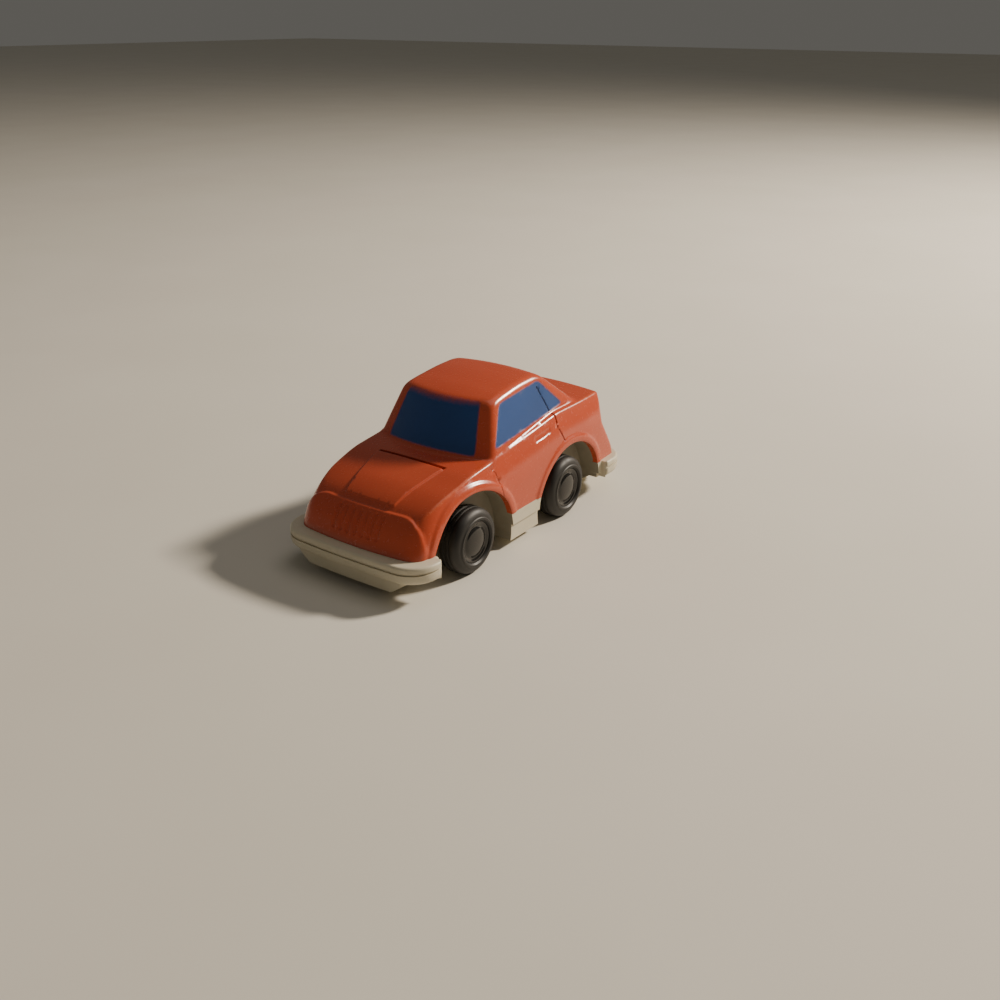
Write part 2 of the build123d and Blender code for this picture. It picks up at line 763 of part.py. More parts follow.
with BuildPart() as gear_pin:
    add(cylinder_between(reduction_place, pin_radius, -case_half_width, case_half_width))
save(gear_pin, "gear_pin")


# The mainspring is half circles that grow by half a pitch each, about two alternating centres.
coil_start = arbor_radius + 2 * side_gap
coil_end = coil_start + spring_half_turns * spring_pitch / 2 + spring_strip
pocket_radius = coil_end + side_gap
pocket_wall = 0.8
spring_start_x = spring_gear_x - 2 * side_gap - spring_width
spring_plane = Plane(origin=(spring_start_x, *spring_place), x_dir=(0, 1, 0), z_dir=(1, 0, 0))
with BuildPart() as mainspring:
    with BuildSketch(spring_plane):
        for half in range(spring_half_turns):
            middle = -(half % 2) * spring_pitch / 2
            bulge = -1 if half % 2 else 1
            inner = coil_start + half * spring_pitch / 2
            outer = inner + spring_strip
            with BuildLine():
                ThreePointArc((middle - inner, 0), (middle, bulge * inner), (middle + inner, 0))
                Line((middle + inner, 0), (middle + outer, 0))
                ThreePointArc((middle + outer, 0), (middle, bulge * outer), (middle - outer, 0))
                Line((middle - outer, 0), (middle - inner, 0))
            make_face()
        # the outer end is bent to the side and held by the wall of the spring's pocket
        coil_tip = middle + inner
        with Locations(((coil_tip + pocket_radius) / 2, 0)):
            Rectangle(pocket_radius - coil_tip, spring_strip)
    extrude(amount=spring_width)
save(mainspring, "mainspring")


def case_outline(start_x, inset):
    """The motor case's side view: a box with rounded corners, drawn in by inset."""
    with BuildSketch(Plane.YZ.offset(start_x)) as outline:
        with Locations(((motor_front_y + motor_rear_y) / 2, (floor_top + motor_top) / 2)):
            RectangleRounded(
                motor_rear_y - motor_front_y - 2 * inset,
                motor_top - floor_top - 2 * inset,
                case_corner_radius - inset,
            )
    return outline.sketch


case_floor_x = -case_half_width + case_wall
bearing_bores = [
    cylinder_between(axle_place, axle_radius + running_gap, -case_half_width, case_half_width),
    cylinder_between(spring_place, arbor_radius + running_gap, -case_half_width, case_half_width),
    cylinder_between(reduction_place, pin_radius, -case_half_width, case_half_width),
]
case_outer = case_outline(-case_half_width, 0)
case_inner = case_outline(case_floor_x, case_wall)
spring_pocket = cylinder_between(spring_place, pocket_radius, case_floor_x, spring_gear_x - side_gap)
pocket_ring = cylinder_between(
    spring_place, pocket_radius + pocket_wall, case_floor_x, spring_gear_x - side_gap
)
pin_boss = cylinder_between(reduction_place, 2 * pin_radius, case_floor_x, spring_gear_x - side_gap)
with BuildPart() as motor_case:
    extrude(case_outer, amount=2 * case_half_width - case_wall)
    extrude(case_inner, amount=2 * case_half_width, mode=Mode.SUBTRACT)
    add(pocket_ring)
    add(spring_pocket, mode=Mode.SUBTRACT)
    add(pin_boss)
    add(bearing_bores, mode=Mode.SUBTRACT)
save(motor_case, "motor_case")

cover_outer = case_outline(cavity_end_x, 0)
spigot_outer = case_outline(cavity_end_x - case_wall, case_wall + running_gap)
spigot_inner = case_outline(cavity_end_x - case_wall, 2 * case_wall)
cover_pin_boss = cylinder_between(
    reduction_place, 2 * pin_radius, reduction_x + gear_width + side_gap, cavity_end_x
)
with BuildPart() as motor_cover:
    extrude(cover_outer, amount=case_wall)
    extrude(spigot_outer, amount=case_wall)
    extrude(spigot_inner, amount=case_wall, mode=Mode.SUBTRACT)
    add(cover_pin_boss)
    add(bearing_bores, mode=Mode.SUBTRACT)
save(motor_cover, "motor_cover")
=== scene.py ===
# %% [markdown]
# # A pull-back toy car
#
# The car is small, about 8 cm long: an orange body shell moulded in one piece, an ivory tray under it
# with the bumpers, black wheels and a spring motor. The measured model gives every place and size; this
# script gives the pieces their finished surfaces and the light they are seen in.
#
# Lengths in the measured model are metres. The shell is worked out in millimetres, because its radii and
# grooves are easier to read that way, and is scaled once at the end.

# %% Load the measured model
import math

import bmesh
import bpy
import numpy as np
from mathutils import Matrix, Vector


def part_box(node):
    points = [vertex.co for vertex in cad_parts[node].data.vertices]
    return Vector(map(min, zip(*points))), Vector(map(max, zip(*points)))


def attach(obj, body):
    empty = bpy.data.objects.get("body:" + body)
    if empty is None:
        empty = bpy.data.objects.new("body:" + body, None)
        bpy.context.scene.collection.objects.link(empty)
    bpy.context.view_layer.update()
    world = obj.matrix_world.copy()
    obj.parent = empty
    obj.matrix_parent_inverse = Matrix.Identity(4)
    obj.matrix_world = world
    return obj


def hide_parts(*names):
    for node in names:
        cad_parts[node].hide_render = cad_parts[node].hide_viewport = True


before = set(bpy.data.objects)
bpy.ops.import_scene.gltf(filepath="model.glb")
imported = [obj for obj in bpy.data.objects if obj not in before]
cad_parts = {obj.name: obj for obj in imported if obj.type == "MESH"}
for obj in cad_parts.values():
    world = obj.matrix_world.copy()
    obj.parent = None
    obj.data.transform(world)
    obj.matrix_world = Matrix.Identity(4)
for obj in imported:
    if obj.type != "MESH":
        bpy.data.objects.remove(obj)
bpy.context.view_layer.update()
MM = 0.001


# %% [markdown]
# ## The shell's shape
#
# A moulded shell like this has no flat faces: every panel is slightly bowed and every edge is rounded by
# the mould. A cage of hand-placed points would take hundreds of them. Here the surface is a rule instead:
# a number that is negative inside the car, positive outside and zero on its skin. Each panel is one
# simple term, and a soft maximum joins the panels with a rounded edge of a chosen size. A term that leans
# is scaled by the cosine of its lean, so that it measures millimetres square to its panel.

# %% Key places along the car
SHELL_HEIGHT = 25.5  # mm from the seam to the roof; the screw posts inside reach lower
BELT_RISE = 16.2  # mm from the seam to the belt line at the doors
front_y = (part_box("front_axle")[0].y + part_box("front_axle")[1].y) / 2 / MM
rear_y = (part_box("rear_axle")[0].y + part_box("rear_axle")[1].y) / 2 / MM
roof_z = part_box("body_shell")[1].z / MM
seam_z = roof_z - SHELL_HEIGHT
belt_z = seam_z + BELT_RISE
print(f"axles at y {front_y:.2f} and {rear_y:.2f}, seam at {seam_z:.2f}, roof at {roof_z:.2f}")


# %% Soft joins between panels
def soft_max(a, b, size):
    """The larger of two terms, with a rounded edge about as wide as size where they meet."""
    near = np.maximum(size - np.abs(a - b), 0) / size
    return np.maximum(a, b) + near * near * size / 4


def soft_min(a, b, size):
    """The smaller of two terms, with a rounded hollow where they meet."""
    return -soft_max(-a, -b, size)


def ramp(value, start, end):
    """0 before start, 1 after end, and a smooth rise between them."""
    t = np.clip((value - start) / (end - start), 0, 1)
    return t * t * (3 - 2 * t)


def bent_line(value, places, heights, soft):
    """A line through a few points whose corners are rounded by averaging over a short stretch."""
    steps = np.linspace(-soft, soft, 9)
    return np.mean([np.interp(value + step, places, heights) for step in steps], axis=0)


# %% The car's outlines from the side, in mm
# belt and roof: places along the car and heights; nose and tail: heights and places along the car
BELT = (
    (-40, -31.4, -26.0, -18.5, -11.0, 12.7, 32.0, 45.0),
    (13.4, 16.3, 18.05, 20.0, 20.85, 24.3, 24.4, 24.45),
)
NOSE = ((4, 8.2, 12.4, 16.5, 20), (-37.4, -36.9, -35.3, -32.4, -27.0))
TAIL = ((4, 8.2, 10.2, 14.1, 17.7, 20.5, 23.0, 26), (38.2, 37.4, 36.6, 33.8, 31.2, 31.3, 32.1, 32.5))
ROOF = ((-20, -4.5, 4.0, 11.5, 20), (28.0, 32.2, 33.25, 33.45, 32.9))
CROWN = 0.45  # how much higher the hood and roof are in the middle than at their sides


# %% The skin as a rule
def lower_body(x, y, z):
    """Sides, belt band, hood and deck, nose and tail."""
    a = np.abs(x)
    belt = bent_line(y, *BELT, 1.5)
    crown = CROWN * (1 - (a / 15) ** 2)
    top = (z - belt - crown) * 0.97
    half_width = 17.2 - 1.2 * ramp(-y, 19, 36) - 0.6 * ramp(y, 22, 38) - 0.25 * ((z - 15) / 7) ** 2
    side = a - half_width
    band = ((a - half_width + 2.0) * 3.4 + (z - belt) * 1.4) / 3.68
    bow = 1.1 * (a / 15) ** 2
    nose = (bent_line(z, *NOSE, 1.2) + bow - y) * 0.93
    tail = (y - bent_line(z, *TAIL, 0.9) + 0.8 * (a / 15) ** 2) * 0.9
    flank = soft_max(side, band, 1.2)
    shoulder = soft_max(flank, top, 0.4)
    return soft_max(soft_max(shoulder, nose, 3.4), tail, 1.4)


def cabin(x, y, z):
    """Side glass, windscreen, roof and rear window."""
    a = np.abs(x)
    side = (a - 14.35 + (z - 23.0) * 0.3176) * 0.953
    screen = (y + 11.6 - 2.4 * ((a / 11.7) ** 2 - 1)) * -0.875 + (z - 21.5) * 0.485
    roof = z - bent_line(y, *ROOF, 2.5) - CROWN * (1 - (a / 11) ** 2) + 0.35
    rear = (y - 11.9 + 1.2 * (a / 11) ** 2) * 0.585 + (z - 33.5) * 0.811
    glasshouse = soft_max(soft_max(side, screen, 1.1), rear, 1.4)
    return soft_max(soft_max(glasshouse, roof, 1.4), belt_z - 5 - z, 0.5)


def skin(points):
    """Below zero inside the car, zero on its skin."""
    x, y, z = points.T
    return soft_min(lower_body(x, y, z), cabin(x, y, z), 0.6)


def slope_of(rule, points, step=0.01):
    """How a rule changes along X, Y and Z at each point."""
    parts = []
    for axis in range(3):
        shift = np.zeros(3)
        shift[axis] = step
        parts.append((rule(points + shift) - rule(points - shift)) / (2 * step))
    return np.stack(parts, 1)


def onto_skin(points, keep_level=None):
    """Move points along the slope until they lie on the skin; some may only move level."""
    for _ in range(6):
        slope = slope_of(skin, points)
        if keep_level is not None:
            slope[keep_level, 2] = 0
        points = points - slope * (skin(points) / np.maximum((slope**2).sum(1), 1e-6))[:, None]
    return points


# %% [markdown]
# ## From the rule to a mesh
#
# Rays leave a spine along the car's middle, at the height of the seam, and stop where they meet the skin.
# In the middle of the car they leave square to the spine and at both ends they fan round, so that the
# nose and tail close without a flat cap. The first mesh is coarse. It is then split only where the
# surface bends or a small feature runs, and every new point is put back on the skin.

# %% A first coarse mesh of rays
SPINE_END = 22.0
END_ROWS, MIDDLE_ROWS, AROUND = 30, 40, 84


def rays_to_skin():
    """The coarse shell: points (mm) and triangles."""
    fan = np.linspace(-math.pi / 2, 0, END_ROWS, endpoint=False)
    tilts = np.concatenate([fan, np.zeros(MIDDLE_ROWS), -fan[::-1]])
    starts = np.concatenate(
        [
            np.full(END_ROWS, -SPINE_END),
            np.linspace(-SPINE_END, SPINE_END, MIDDLE_ROWS),
            np.full(END_ROWS, SPINE_END),
        ]
    )
    turn = np.linspace(0, math.pi, AROUND)
    across = np.cos(tilts)[:, None]
    ways = np.stack(
        [across * np.cos(turn), np.sin(tilts)[:, None] + 0 * turn, across * np.sin(turn)], -1
    ).reshape(-1, 3)
    origins = np.zeros_like(ways)
    origins[:, 1] = np.repeat(starts, AROUND)
    origins[:, 2] = seam_z
    near, far = np.zeros(len(ways)), np.full(len(ways), 40.0)
    for _ in range(40):
        middle = (near + far) / 2
        inside = skin(origins + ways * middle[:, None]) < 0
        near, far = np.where(inside, middle, near), np.where(inside, far, middle)
    points = origins + ways * near[:, None]
    rows = len(tilts)
    first = (np.arange(rows - 1)[:, None] * AROUND + np.arange(AROUND - 1)).ravel()
    quads = np.stack([first, first + 1, first + AROUND + 1, first + AROUND], 1)
    return points, np.concatenate([quads[:, [0, 1, 2]], quads[:, [0, 2, 3]]])


# %% Split only where it is needed
def split_edges(points, triangles, wanted):
    """One round of splitting: wanted(a, b) says which edges get a point in the middle."""
    sides = np.stack([triangles[:, [0, 1]], triangles[:, [1, 2]], triangles[:, [2, 0]]], 1)
    pairs = np.sort(sides.reshape(-1, 2), 1)
    edges, which = np.unique(pairs, axis=0, return_inverse=True)
    which = which.reshape(-1, 3)
    marked = wanted(points[edges[:, 0]], points[edges[:, 1]])
    middles = np.full(len(edges), -1)
    middles[marked] = len(points) + np.arange(marked.sum())
    new = (points[edges[marked, 0]] + points[edges[marked, 1]]) / 2
    on_seam = np.abs(new[:, 2] - seam_z) < 1e-4
    points = np.concatenate([points, onto_skin(new, on_seam)])
    found = middles[which]
    count = (found >= 0).sum(1)
    kept = [triangles[count == 0]]
    for amount in (1, 2, 3):
        t, m = triangles[count == amount], found[count == amount]
        if amount == 1:
            turn = np.argmax(m >= 0, 1)
        elif amount == 2:
            turn = (np.argmin(m >= 0, 1) + 1) % 3
        else:
            turn = np.zeros(len(t), int)
        order = (turn[:, None] + np.arange(3)) % 3
        (a, b, c), (ab, bc, ca) = np.take_along_axis(t, order, 1).T, np.take_along_axis(m, order, 1).T
        if amount == 1:
            kept += [np.stack([a, ab, c], 1), np.stack([ab, b, c], 1)]
        elif amount == 2:
            kept += [np.stack([a, ab, bc], 1), np.stack([ab, b, bc], 1), np.stack([a, bc, c], 1)]
        else:
            kept += [np.stack(corner, 1) for corner in ((a, ab, ca), (ab, b, bc), (ca, bc, c), (ab, bc, ca))]
    return points, np.concatenate(kept)


# %% [markdown]
# ## Details that stand out of the skin or sink into it
#
# The mould also cut small steps into the shell: a raised hood panel with a slot behind it, a front panel
# with a grille, flares round the wheel arches, shut lines, door handles and shallow beds for the painted
# windows. Each is a distance from an outline, drawn in the view that shows it best, and a height.

# %% Distances from outlines, in mm
def from_shape(u, v, corners, soft):
    """Distance from a convex outline, below zero inside, with its corners rounded."""
    distance = np.full(np.shape(u), -99.0)
    for (u0, v0), (u1, v1) in zip(corners, corners[1:] + corners[:1]):
        length = math.hypot(u1 - u0, v1 - v0)
        side = ((u - u0) * (v1 - v0) - (v - v0) * (u1 - u0)) / length
        distance = soft_max(distance, side, soft)
    return distance


def from_line(u, v, corners):
    """Distance from an open line through a few points."""
    distance = np.full(np.shape(u), 99.0)
    for (u0, v0), (u1, v1) in zip(corners, corners[1:]):
        length = math.hypot(u1 - u0, v1 - v0)
        along = np.clip(((u - u0) * (u1 - u0) + (v - v0) * (v1 - v0)) / length**2, 0, 1)
        distance = np.minimum(distance, np.hypot(u - u0 - along * (u1 - u0), v - v0 - along * (v1 - v0)))
    return distance


def step_up(distance, height, edge):
    """A step of a height inside an outline, with a slope of a width at its edge."""
    return height * (1 - ramp(distance, -edge / 2, edge / 2))


def groove(distance, depth, width):
    """A groove along a line."""
    return -depth * (1 - ramp(np.abs(distance), 0.15 * width, 0.6 * width))


# %% The windows' outlines
SCREEN_CORNERS = [(-11.3, 21.4), (11.3, 21.4), (9.2, 30.9), (-9.2, 30.9)]
REAR_CORNERS = [(-10.6, 25.9), (10.6, 25.9), (8.8, 32.2), (-8.8, 32.2)]
DOOR_CORNERS = [(-8.9, 22.7), (17.2, 25.35), (10.4, 31.8), (-4.2, 30.6)]


def from_windows(points):
    """Distance from the nearest painted window, below zero inside it."""
    x, y, z = points.T
    slope = slope_of(skin, points)
    ahead = (0.6 + slope[:, 1]) * 1.2
    behind = np.maximum((0.4 - slope[:, 1]) * 1.5, 8 - y)
    beside = (0.75 - np.abs(slope[:, 0])) * 1.5
    bowed_z = z - 0.35 * (1 - (x / 11) ** 2)
    screen = np.maximum(from_shape(x, bowed_z, SCREEN_CORNERS, 0.8), ahead)
    rear = np.maximum(from_shape(x, z, REAR_CORNERS, 0.8), behind)
    door = np.maximum(from_shape(y, z, DOOR_CORNERS, 0.8), beside)
    return np.minimum(np.minimum(screen, rear), door)


# %% Every detail's height above the skin
ARCHES = (((front_y + 0.85, 4.2), 12.8), ((rear_y + 1.9, 4.4), 12.4))
HOOD_CORNERS = [(-6.3, -31.4), (6.3, -31.4), (8.7, -18.7), (-8.7, -18.7)]
SLOT_CORNERS = [(-8.6, -18.75), (8.6, -18.75), (8.6, -17.95), (-8.6, -17.95)]
FACE_CORNERS = [(-16.4, 7.0), (16.4, 7.0), (16.0, 11.5), (13.3, 15.2), (-13.3, 15.2), (-16.0, 11.5)]
DOOR_LINE = [(9.6, 30.6), (11.2, 27.0), (12.4, 23.9), (12.0, 21.6), (13.4, 18.4)]
WING_LINE = [(-11.9, 19.6), (-11.2, 18.6), (-10.6, 15.2), (-9.6, 12.0)]
HANDLE_CORNERS = [(3.4, 20.5), (9.4, 21.2), (9.4, 22.2), (3.4, 21.6)]
GRILLE_LINES = 7
GRILLE_PITCH = 1.85


def detail(points):
    """How far each point of the skin is raised (mm)."""
    x, y, z = points.T
    a = np.abs(x)
    upward = ramp(z, 14.0, 15.5) * ramp(-y, 16, 17)
    ahead = ramp(-y, 28.5, 29.5)
    beside = ramp(a, 12.0, 13.0)
    height = step_up(from_shape(x, y, HOOD_CORNERS, 0.5), 0.3, 0.45) * upward
    height += step_up(from_shape(x, y, SLOT_CORNERS, 0.2), -1.0, 0.25) * ramp(z, 18, 18.5)
    height += step_up(from_shape(x, z, FACE_CORNERS, 3.2), 0.3, 0.5) * ahead
    for line in range(GRILLE_LINES):
        middle = (line - (GRILLE_LINES - 1) / 2) * GRILLE_PITCH
        height += groove(from_line(x, z, [(middle, 10.5), (middle, 14.2)]), 0.26, 1.0) * ahead
    for (arch_y, arch_z), radius in ARCHES:
        ring = np.hypot(y - arch_y, z - arch_z) - radius
        height += step_up(np.abs(ring - 0.8) - 0.8, 0.3, 1.0) * beside
    height += groove(from_line(y, z, DOOR_LINE), 0.22, 0.42) * ramp(a, 9.5, 10.5)
    height += groove(from_line(y, z, WING_LINE), 0.1, 0.45) * beside
    height += step_up(from_shape(y, z, HANDLE_CORNERS, 0.5), -0.12, 0.45) * beside
    return height + step_up(from_windows(points), -0.1, 0.5)


# %% Build the shell's outer skin
FINEST = 0.11  # mm, the shortest edge that is still split


def needs_point(a, b):
    """Edges that the surface leaves, or that a detail, an arch's edge or a paint edge crosses."""
    length = np.linalg.norm(a - b, axis=1)
    middle = (a + b) / 2
    moved = onto_skin(middle)
    bend = np.linalg.norm(moved - middle, axis=1) > 0.016
    ends, centre = (detail(a), detail(b)), detail(moved)
    uneven = np.abs(centre - (ends[0] + ends[1]) / 2) > 0.018
    uneven |= np.abs(ends[0] - ends[1]) > 0.1
    crossed = np.zeros(len(a), bool)
    for (arch_y, arch_z), radius in ARCHES:
        out = [np.hypot(p[:, 1] - arch_y, p[:, 2] - arch_z) > radius for p in (a, b)]
        crossed |= out[0] != out[1]
    return ((bend | crossed) & (length > 0.32)) | (uneven & (length > FINEST))


# %% Refine the skin where it bends and where details run
skin_points, skin_triangles = rays_to_skin()
for _ in range(7):
    before = len(skin_triangles)
    skin_points, skin_triangles = split_edges(skin_points, skin_triangles, needs_point)
    if len(skin_triangles) == before:
        break
print("shell skin:", len(skin_points), "points,", len(skin_triangles), "triangles")

# %% [markdown]
# ## Wheel arches and the wall's thickness
#
# On the real shell the arches are part of the mould, so their edges are clean arcs. Triangles that cross
# an arch's circle are cut exactly on it. The wall is then given its thickness: an inner skin 1.2 mm
# further in, with the opposite winding, and a strip that joins the two round every open edge. The solid
# is closed, like the moulding. Each corner of a face is told its own normal, worked out from the rule and
# the details, so the surface shades as smoothly as polished plastic.

# %% Cut the arches out of the skin
def outside_arches(points):
    """Distance (mm) outside the nearer wheel arch, below zero inside it."""
    rings = [np.hypot(points[:, 1] - c[0], points[:, 2] - c[1]) - radius for c, radius in ARCHES]
    return np.minimum(*rings)


def onto_arches(points):
    """Move points in the side view onto the nearer arch's circle, then across onto the skin."""
    points = points.copy()
    for (arch_y, arch_z), radius in ARCHES:
        near = np.abs(points[:, 1] - arch_y) < radius + 2
        away = points[:, 1:] - (arch_y, arch_z)
        away *= (radius / np.maximum(np.hypot(*away.T), 1e-6))[:, None]
        points[near, 1:] = away[near] + (arch_y, arch_z)
    for _ in range(6):
        across = slope_of(skin, points)[:, 0]
        points[:, 0] -= skin(points) / np.where(np.abs(across) > 0.3, across, 1e9)
    return points


def cut_arches(points, triangles):
    """Keep what lies outside the arches, with new points exactly on their edges."""
    field = outside_arches(points)
    close = np.abs(field) < 0.025
    points[close] = onto_arches(points[close])
    field[close] = 0
    inside = field < 0
    count = inside[triangles].sum(1)
    kept = [triangles[(count == 0)]]
    crossing = triangles[(count > 0) & (field[triangles].max(1) > 0)]
    new_points, seen = [], {}

    def between(i, j):
        key = (min(i, j), max(i, j))
        if key not in seen:
            share = field[i] / (field[i] - field[j])
            seen[key] = len(points) + len(new_points)
            new_points.append(points[i] + share * (points[j] - points[i]))
        return seen[key]

    pieces = []
    for corners in crossing.tolist():
        ring = []
        for i, j in zip(corners, corners[1:] + corners[:1]):
            if not inside[i]:
                ring.append(i)
            if field[i] * field[j] < 0:
                ring.append(between(i, j))
        pieces += [(ring[0], b, c) for b, c in zip(ring[1:], ring[2:])]
    points = np.concatenate([points, onto_arches(np.array(new_points))])
    triangles = np.concatenate(kept + [np.array(pieces, int)])
    a, b, c = (points[triangles[:, k]] for k in range(3))
    triangles = triangles[np.linalg.norm(np.cross(b - a, c - a), axis=1) > 1e-7]
    used, triangles = np.unique(triangles, return_inverse=True)
    return points[used], triangles.reshape(-1, 3)


skin_points, skin_triangles = cut_arches(skin_points, skin_triangles)
skin_triangles = skin_triangles[:, ::-1]
print("with its arches cut:", len(skin_triangles), "triangles")


# %% Outer skin, inner skin and rim
WALL = 1.2  # mm


def unit(vectors):
    """The same directions, one long."""
    return vectors / np.maximum(np.linalg.norm(vectors, axis=1), 1e-9)[:, None]


def open_edges(triangles):
    """The edges that only one triangle uses, in that triangle's direction."""
    sides = np.concatenate([triangles[:, [0, 1]], triangles[:, [1, 2]], triangles[:, [2, 0]]])
    _, first, times = np.unique(np.sort(sides, 1), axis=0, return_index=True, return_counts=True)
    return sides[first[times == 1]]


rim = open_edges(skin_triangles)
on_seam = np.zeros(len(skin_points), bool)
on_seam[rim[np.abs(skin_points[rim, 2] - seam_z) < 1e-3]] = True
on_arch = np.zeros(len(skin_points), bool)
on_arch[rim] = True
on_arch &= ~on_seam

plain_normal = unit(slope_of(skin, skin_points))
outward = plain_normal.copy()
outward[on_seam, 2] = 0
outward = unit(outward)
raised = detail(skin_points)
outer = skin_points + outward * raised[:, None]
tilt = slope_of(detail, skin_points, 0.02)
tilt -= (tilt * plain_normal).sum(1)[:, None] * plain_normal
outer_normal = unit(plain_normal - tilt)

outward[on_arch] = (1, 0, 0)
outward[on_arch, 0] = np.sign(skin_points[on_arch, 0])
inner = skin_points - WALL * outward

shell_points = np.concatenate([outer, inner])
start = len(outer)
strip = np.concatenate(
    [
        np.stack([rim[:, 1], rim[:, 0], rim[:, 0] + start], 1),
        np.stack([rim[:, 1], rim[:, 0] + start, rim[:, 1] + start], 1),
    ]
)
shell_triangles = np.concatenate([skin_triangles, skin_triangles[:, ::-1] + start, strip])
a, b, c = (shell_points[strip[:, k]] for k in range(3))
strip_normal = unit(np.cross(b - a, c - a))
corner_normals = np.concatenate(
    [
        outer_normal[skin_triangles].reshape(-1, 3),
        -plain_normal[skin_triangles[:, ::-1]].reshape(-1, 3),
        np.repeat(strip_normal, 3, axis=0),
    ]
)

# %% What the shell's finish needs to know at each point
paint_edge = from_windows(skin_points)
# in_groove is how deep a point lies in a groove; the shell's material paints shade there
in_groove = np.clip(-raised - 0.05, 0, 1)
around = []
for direction in np.eye(3):
    side_step = unit(np.cross(plain_normal, direction) + 1e-9)
    around.append(skin(skin_points + 0.7 * side_step) + skin(skin_points - 0.7 * side_step))
sharpness = np.clip(np.max(around, 0) / 0.49, 0, 1)

shell_mesh = bpy.data.meshes.new("moulded_shell")
shell_mesh.from_pydata((shell_points * MM).tolist(), [], shell_triangles.tolist())
shell_mesh.shade_smooth()
for name, values in (("paint_edge", paint_edge), ("in_groove", in_groove), ("sharpness", sharpness)):
    layer = shell_mesh.attributes.new(name, "FLOAT", "POINT")
    inside_value = 9.0 if name == "paint_edge" else 0.0
    layer.data.foreach_set("value", np.concatenate([values, np.full(start, inside_value)]).astype(np.float32))
shell_mesh.normals_split_custom_set(corner_normals.tolist())
shell = bpy.data.objects.new("moulded_shell", shell_mesh)
bpy.context.scene.collection.objects.link(shell)
print("moulded_shell:", len(shell_triangles), "triangles, wall", WALL, "mm")

# %% [markdown]
# ## Materials from small nodes
#
# Every finish below is a small node tree: a colour that wanders a little, a roughness that changes with
# handling, and a fine bump. One function adds a node with its settings and links, and one turns a colour
# written as web hex into the linear numbers that the renderer works with.

# %% Colours and nodes
def colour(code):
    """A web colour such as #E8552A as linear red, green, blue and alpha."""
    values = [int(code[i : i + 2], 16) / 255 for i in (1, 3, 5)]
    return (*[v / 12.92 if v <= 0.04045 else ((v + 0.055) / 1.055) ** 2.4 for v in values], 1.0)


def add_node(tree, kind, settings=None, sockets=None):
    """Add one node. Settings are its own options; sockets are set to values or linked to other sockets."""
    node = tree.nodes.new(kind)
    for name, value in (settings or {}).items():
        setattr(node, name, value)
    for key, value in (sockets or {}).items():
        if isinstance(value, bpy.types.NodeSocket):
            tree.links.new(value, node.inputs[key])
        else:
            node.inputs[key].default_value = value
    return node


def new_material(name):
    """An empty material: its tree, its coordinates in millimetres and its shader, already linked up."""
    material = bpy.data.materials.new(name)
    material.use_nodes = True
    tree = material.node_tree
    tree.nodes.clear()
    place = add_node(tree, "ShaderNodeTexCoord").outputs["Object"]
    scale = {"operation": "SCALE"}
    in_mm = add_node(tree, "ShaderNodeVectorMath", scale, {0: place, "Scale": 1 / MM}).outputs[0]
    shader = add_node(tree, "ShaderNodeBsdfPrincipled")
    add_node(tree, "ShaderNodeOutputMaterial", None, {"Surface": shader.outputs[0]})
    return material, tree, in_mm, shader


def link(tree, shader, **sources):
    """Link outputs to the shader's sockets, named with underscores."""
    for name, source in sources.items():
        tree.links.new(source, shader.inputs[name.replace("_", " ")])


MIX = {"data_type": "RGBA"}


def blend_colours(tree, amount, first, second):
    """A mix of two colours by an amount from 0 to 1."""
    return add_node(tree, "ShaderNodeMix", MIX, {"Factor": amount, "A": first, "B": second}).outputs[2]


# %% [markdown]
# ## The shell's plastic and its painted windows
#
# The shell is injection-moulded polystyrene, coloured right through and polished by the mould. It looks
# glossy but not mirror-like, because years of handling have left it with fine scuffs, worst on the edges
# that stick out. The windows are sprayed on through a mask, so their edge is a little soft, and the paint
# is duller than the plastic.

# %% The orange plastic's colour
def worn_and_shaded_orange(tree, flow, streaks):
    """Orange that is paler where edges are rubbed, and darker in the grooves as painted shade."""
    orange = blend_colours(tree, flow, colour("#B6482C"), colour("#C25233"))
    edge = add_node(tree, "ShaderNodeAttribute", {"attribute_name": "sharpness"}).outputs["Fac"]
    rubbed = add_node(
        tree, "ShaderNodeMath", {"operation": "MULTIPLY", "use_clamp": True}, {0: edge, 1: streaks}
    ).outputs[0]
    worn = add_node(
        tree,
        "ShaderNodeMapRange",
        None,
        {"Value": rubbed, "From Min": 0.22, "From Max": 0.6, "To Max": 0.35},
    ).outputs[0]
    orange = blend_colours(tree, worn, orange, colour("#E07B50"))
    # painted shade: the orange is darkened inside the grooves, where shade falls
    groove_depth = add_node(tree, "ShaderNodeAttribute", {"attribute_name": "in_groove"}).outputs["Fac"]
    groove_shade = add_node(
        tree, "ShaderNodeMapRange", None, {"Value": groove_depth, "From Max": 0.35, "To Max": 0.45}
    ).outputs[0]
    return blend_colours(tree, groove_shade, orange, colour("#8A2F18"))


# %% The blue paint's colour and where it lies
def sprayed_blue(tree, place, flow):
    """Blue enamel with pale flecks about 0.2 mm across."""
    blue = blend_colours(tree, flow, colour("#183C72"), colour("#1E4A8C"))
    specks = add_node(tree, "ShaderNodeTexNoise", None, {"Vector": place, "Scale": 5, "Detail": 4})
    flecked = add_node(
        tree,
        "ShaderNodeMapRange",
        None,
        {"Value": specks.outputs["Fac"], "From Min": 0.62, "From Max": 0.8, "To Max": 0.5},
    ).outputs[0]
    return blend_colours(tree, flecked, blue, colour("#2A62A6"))


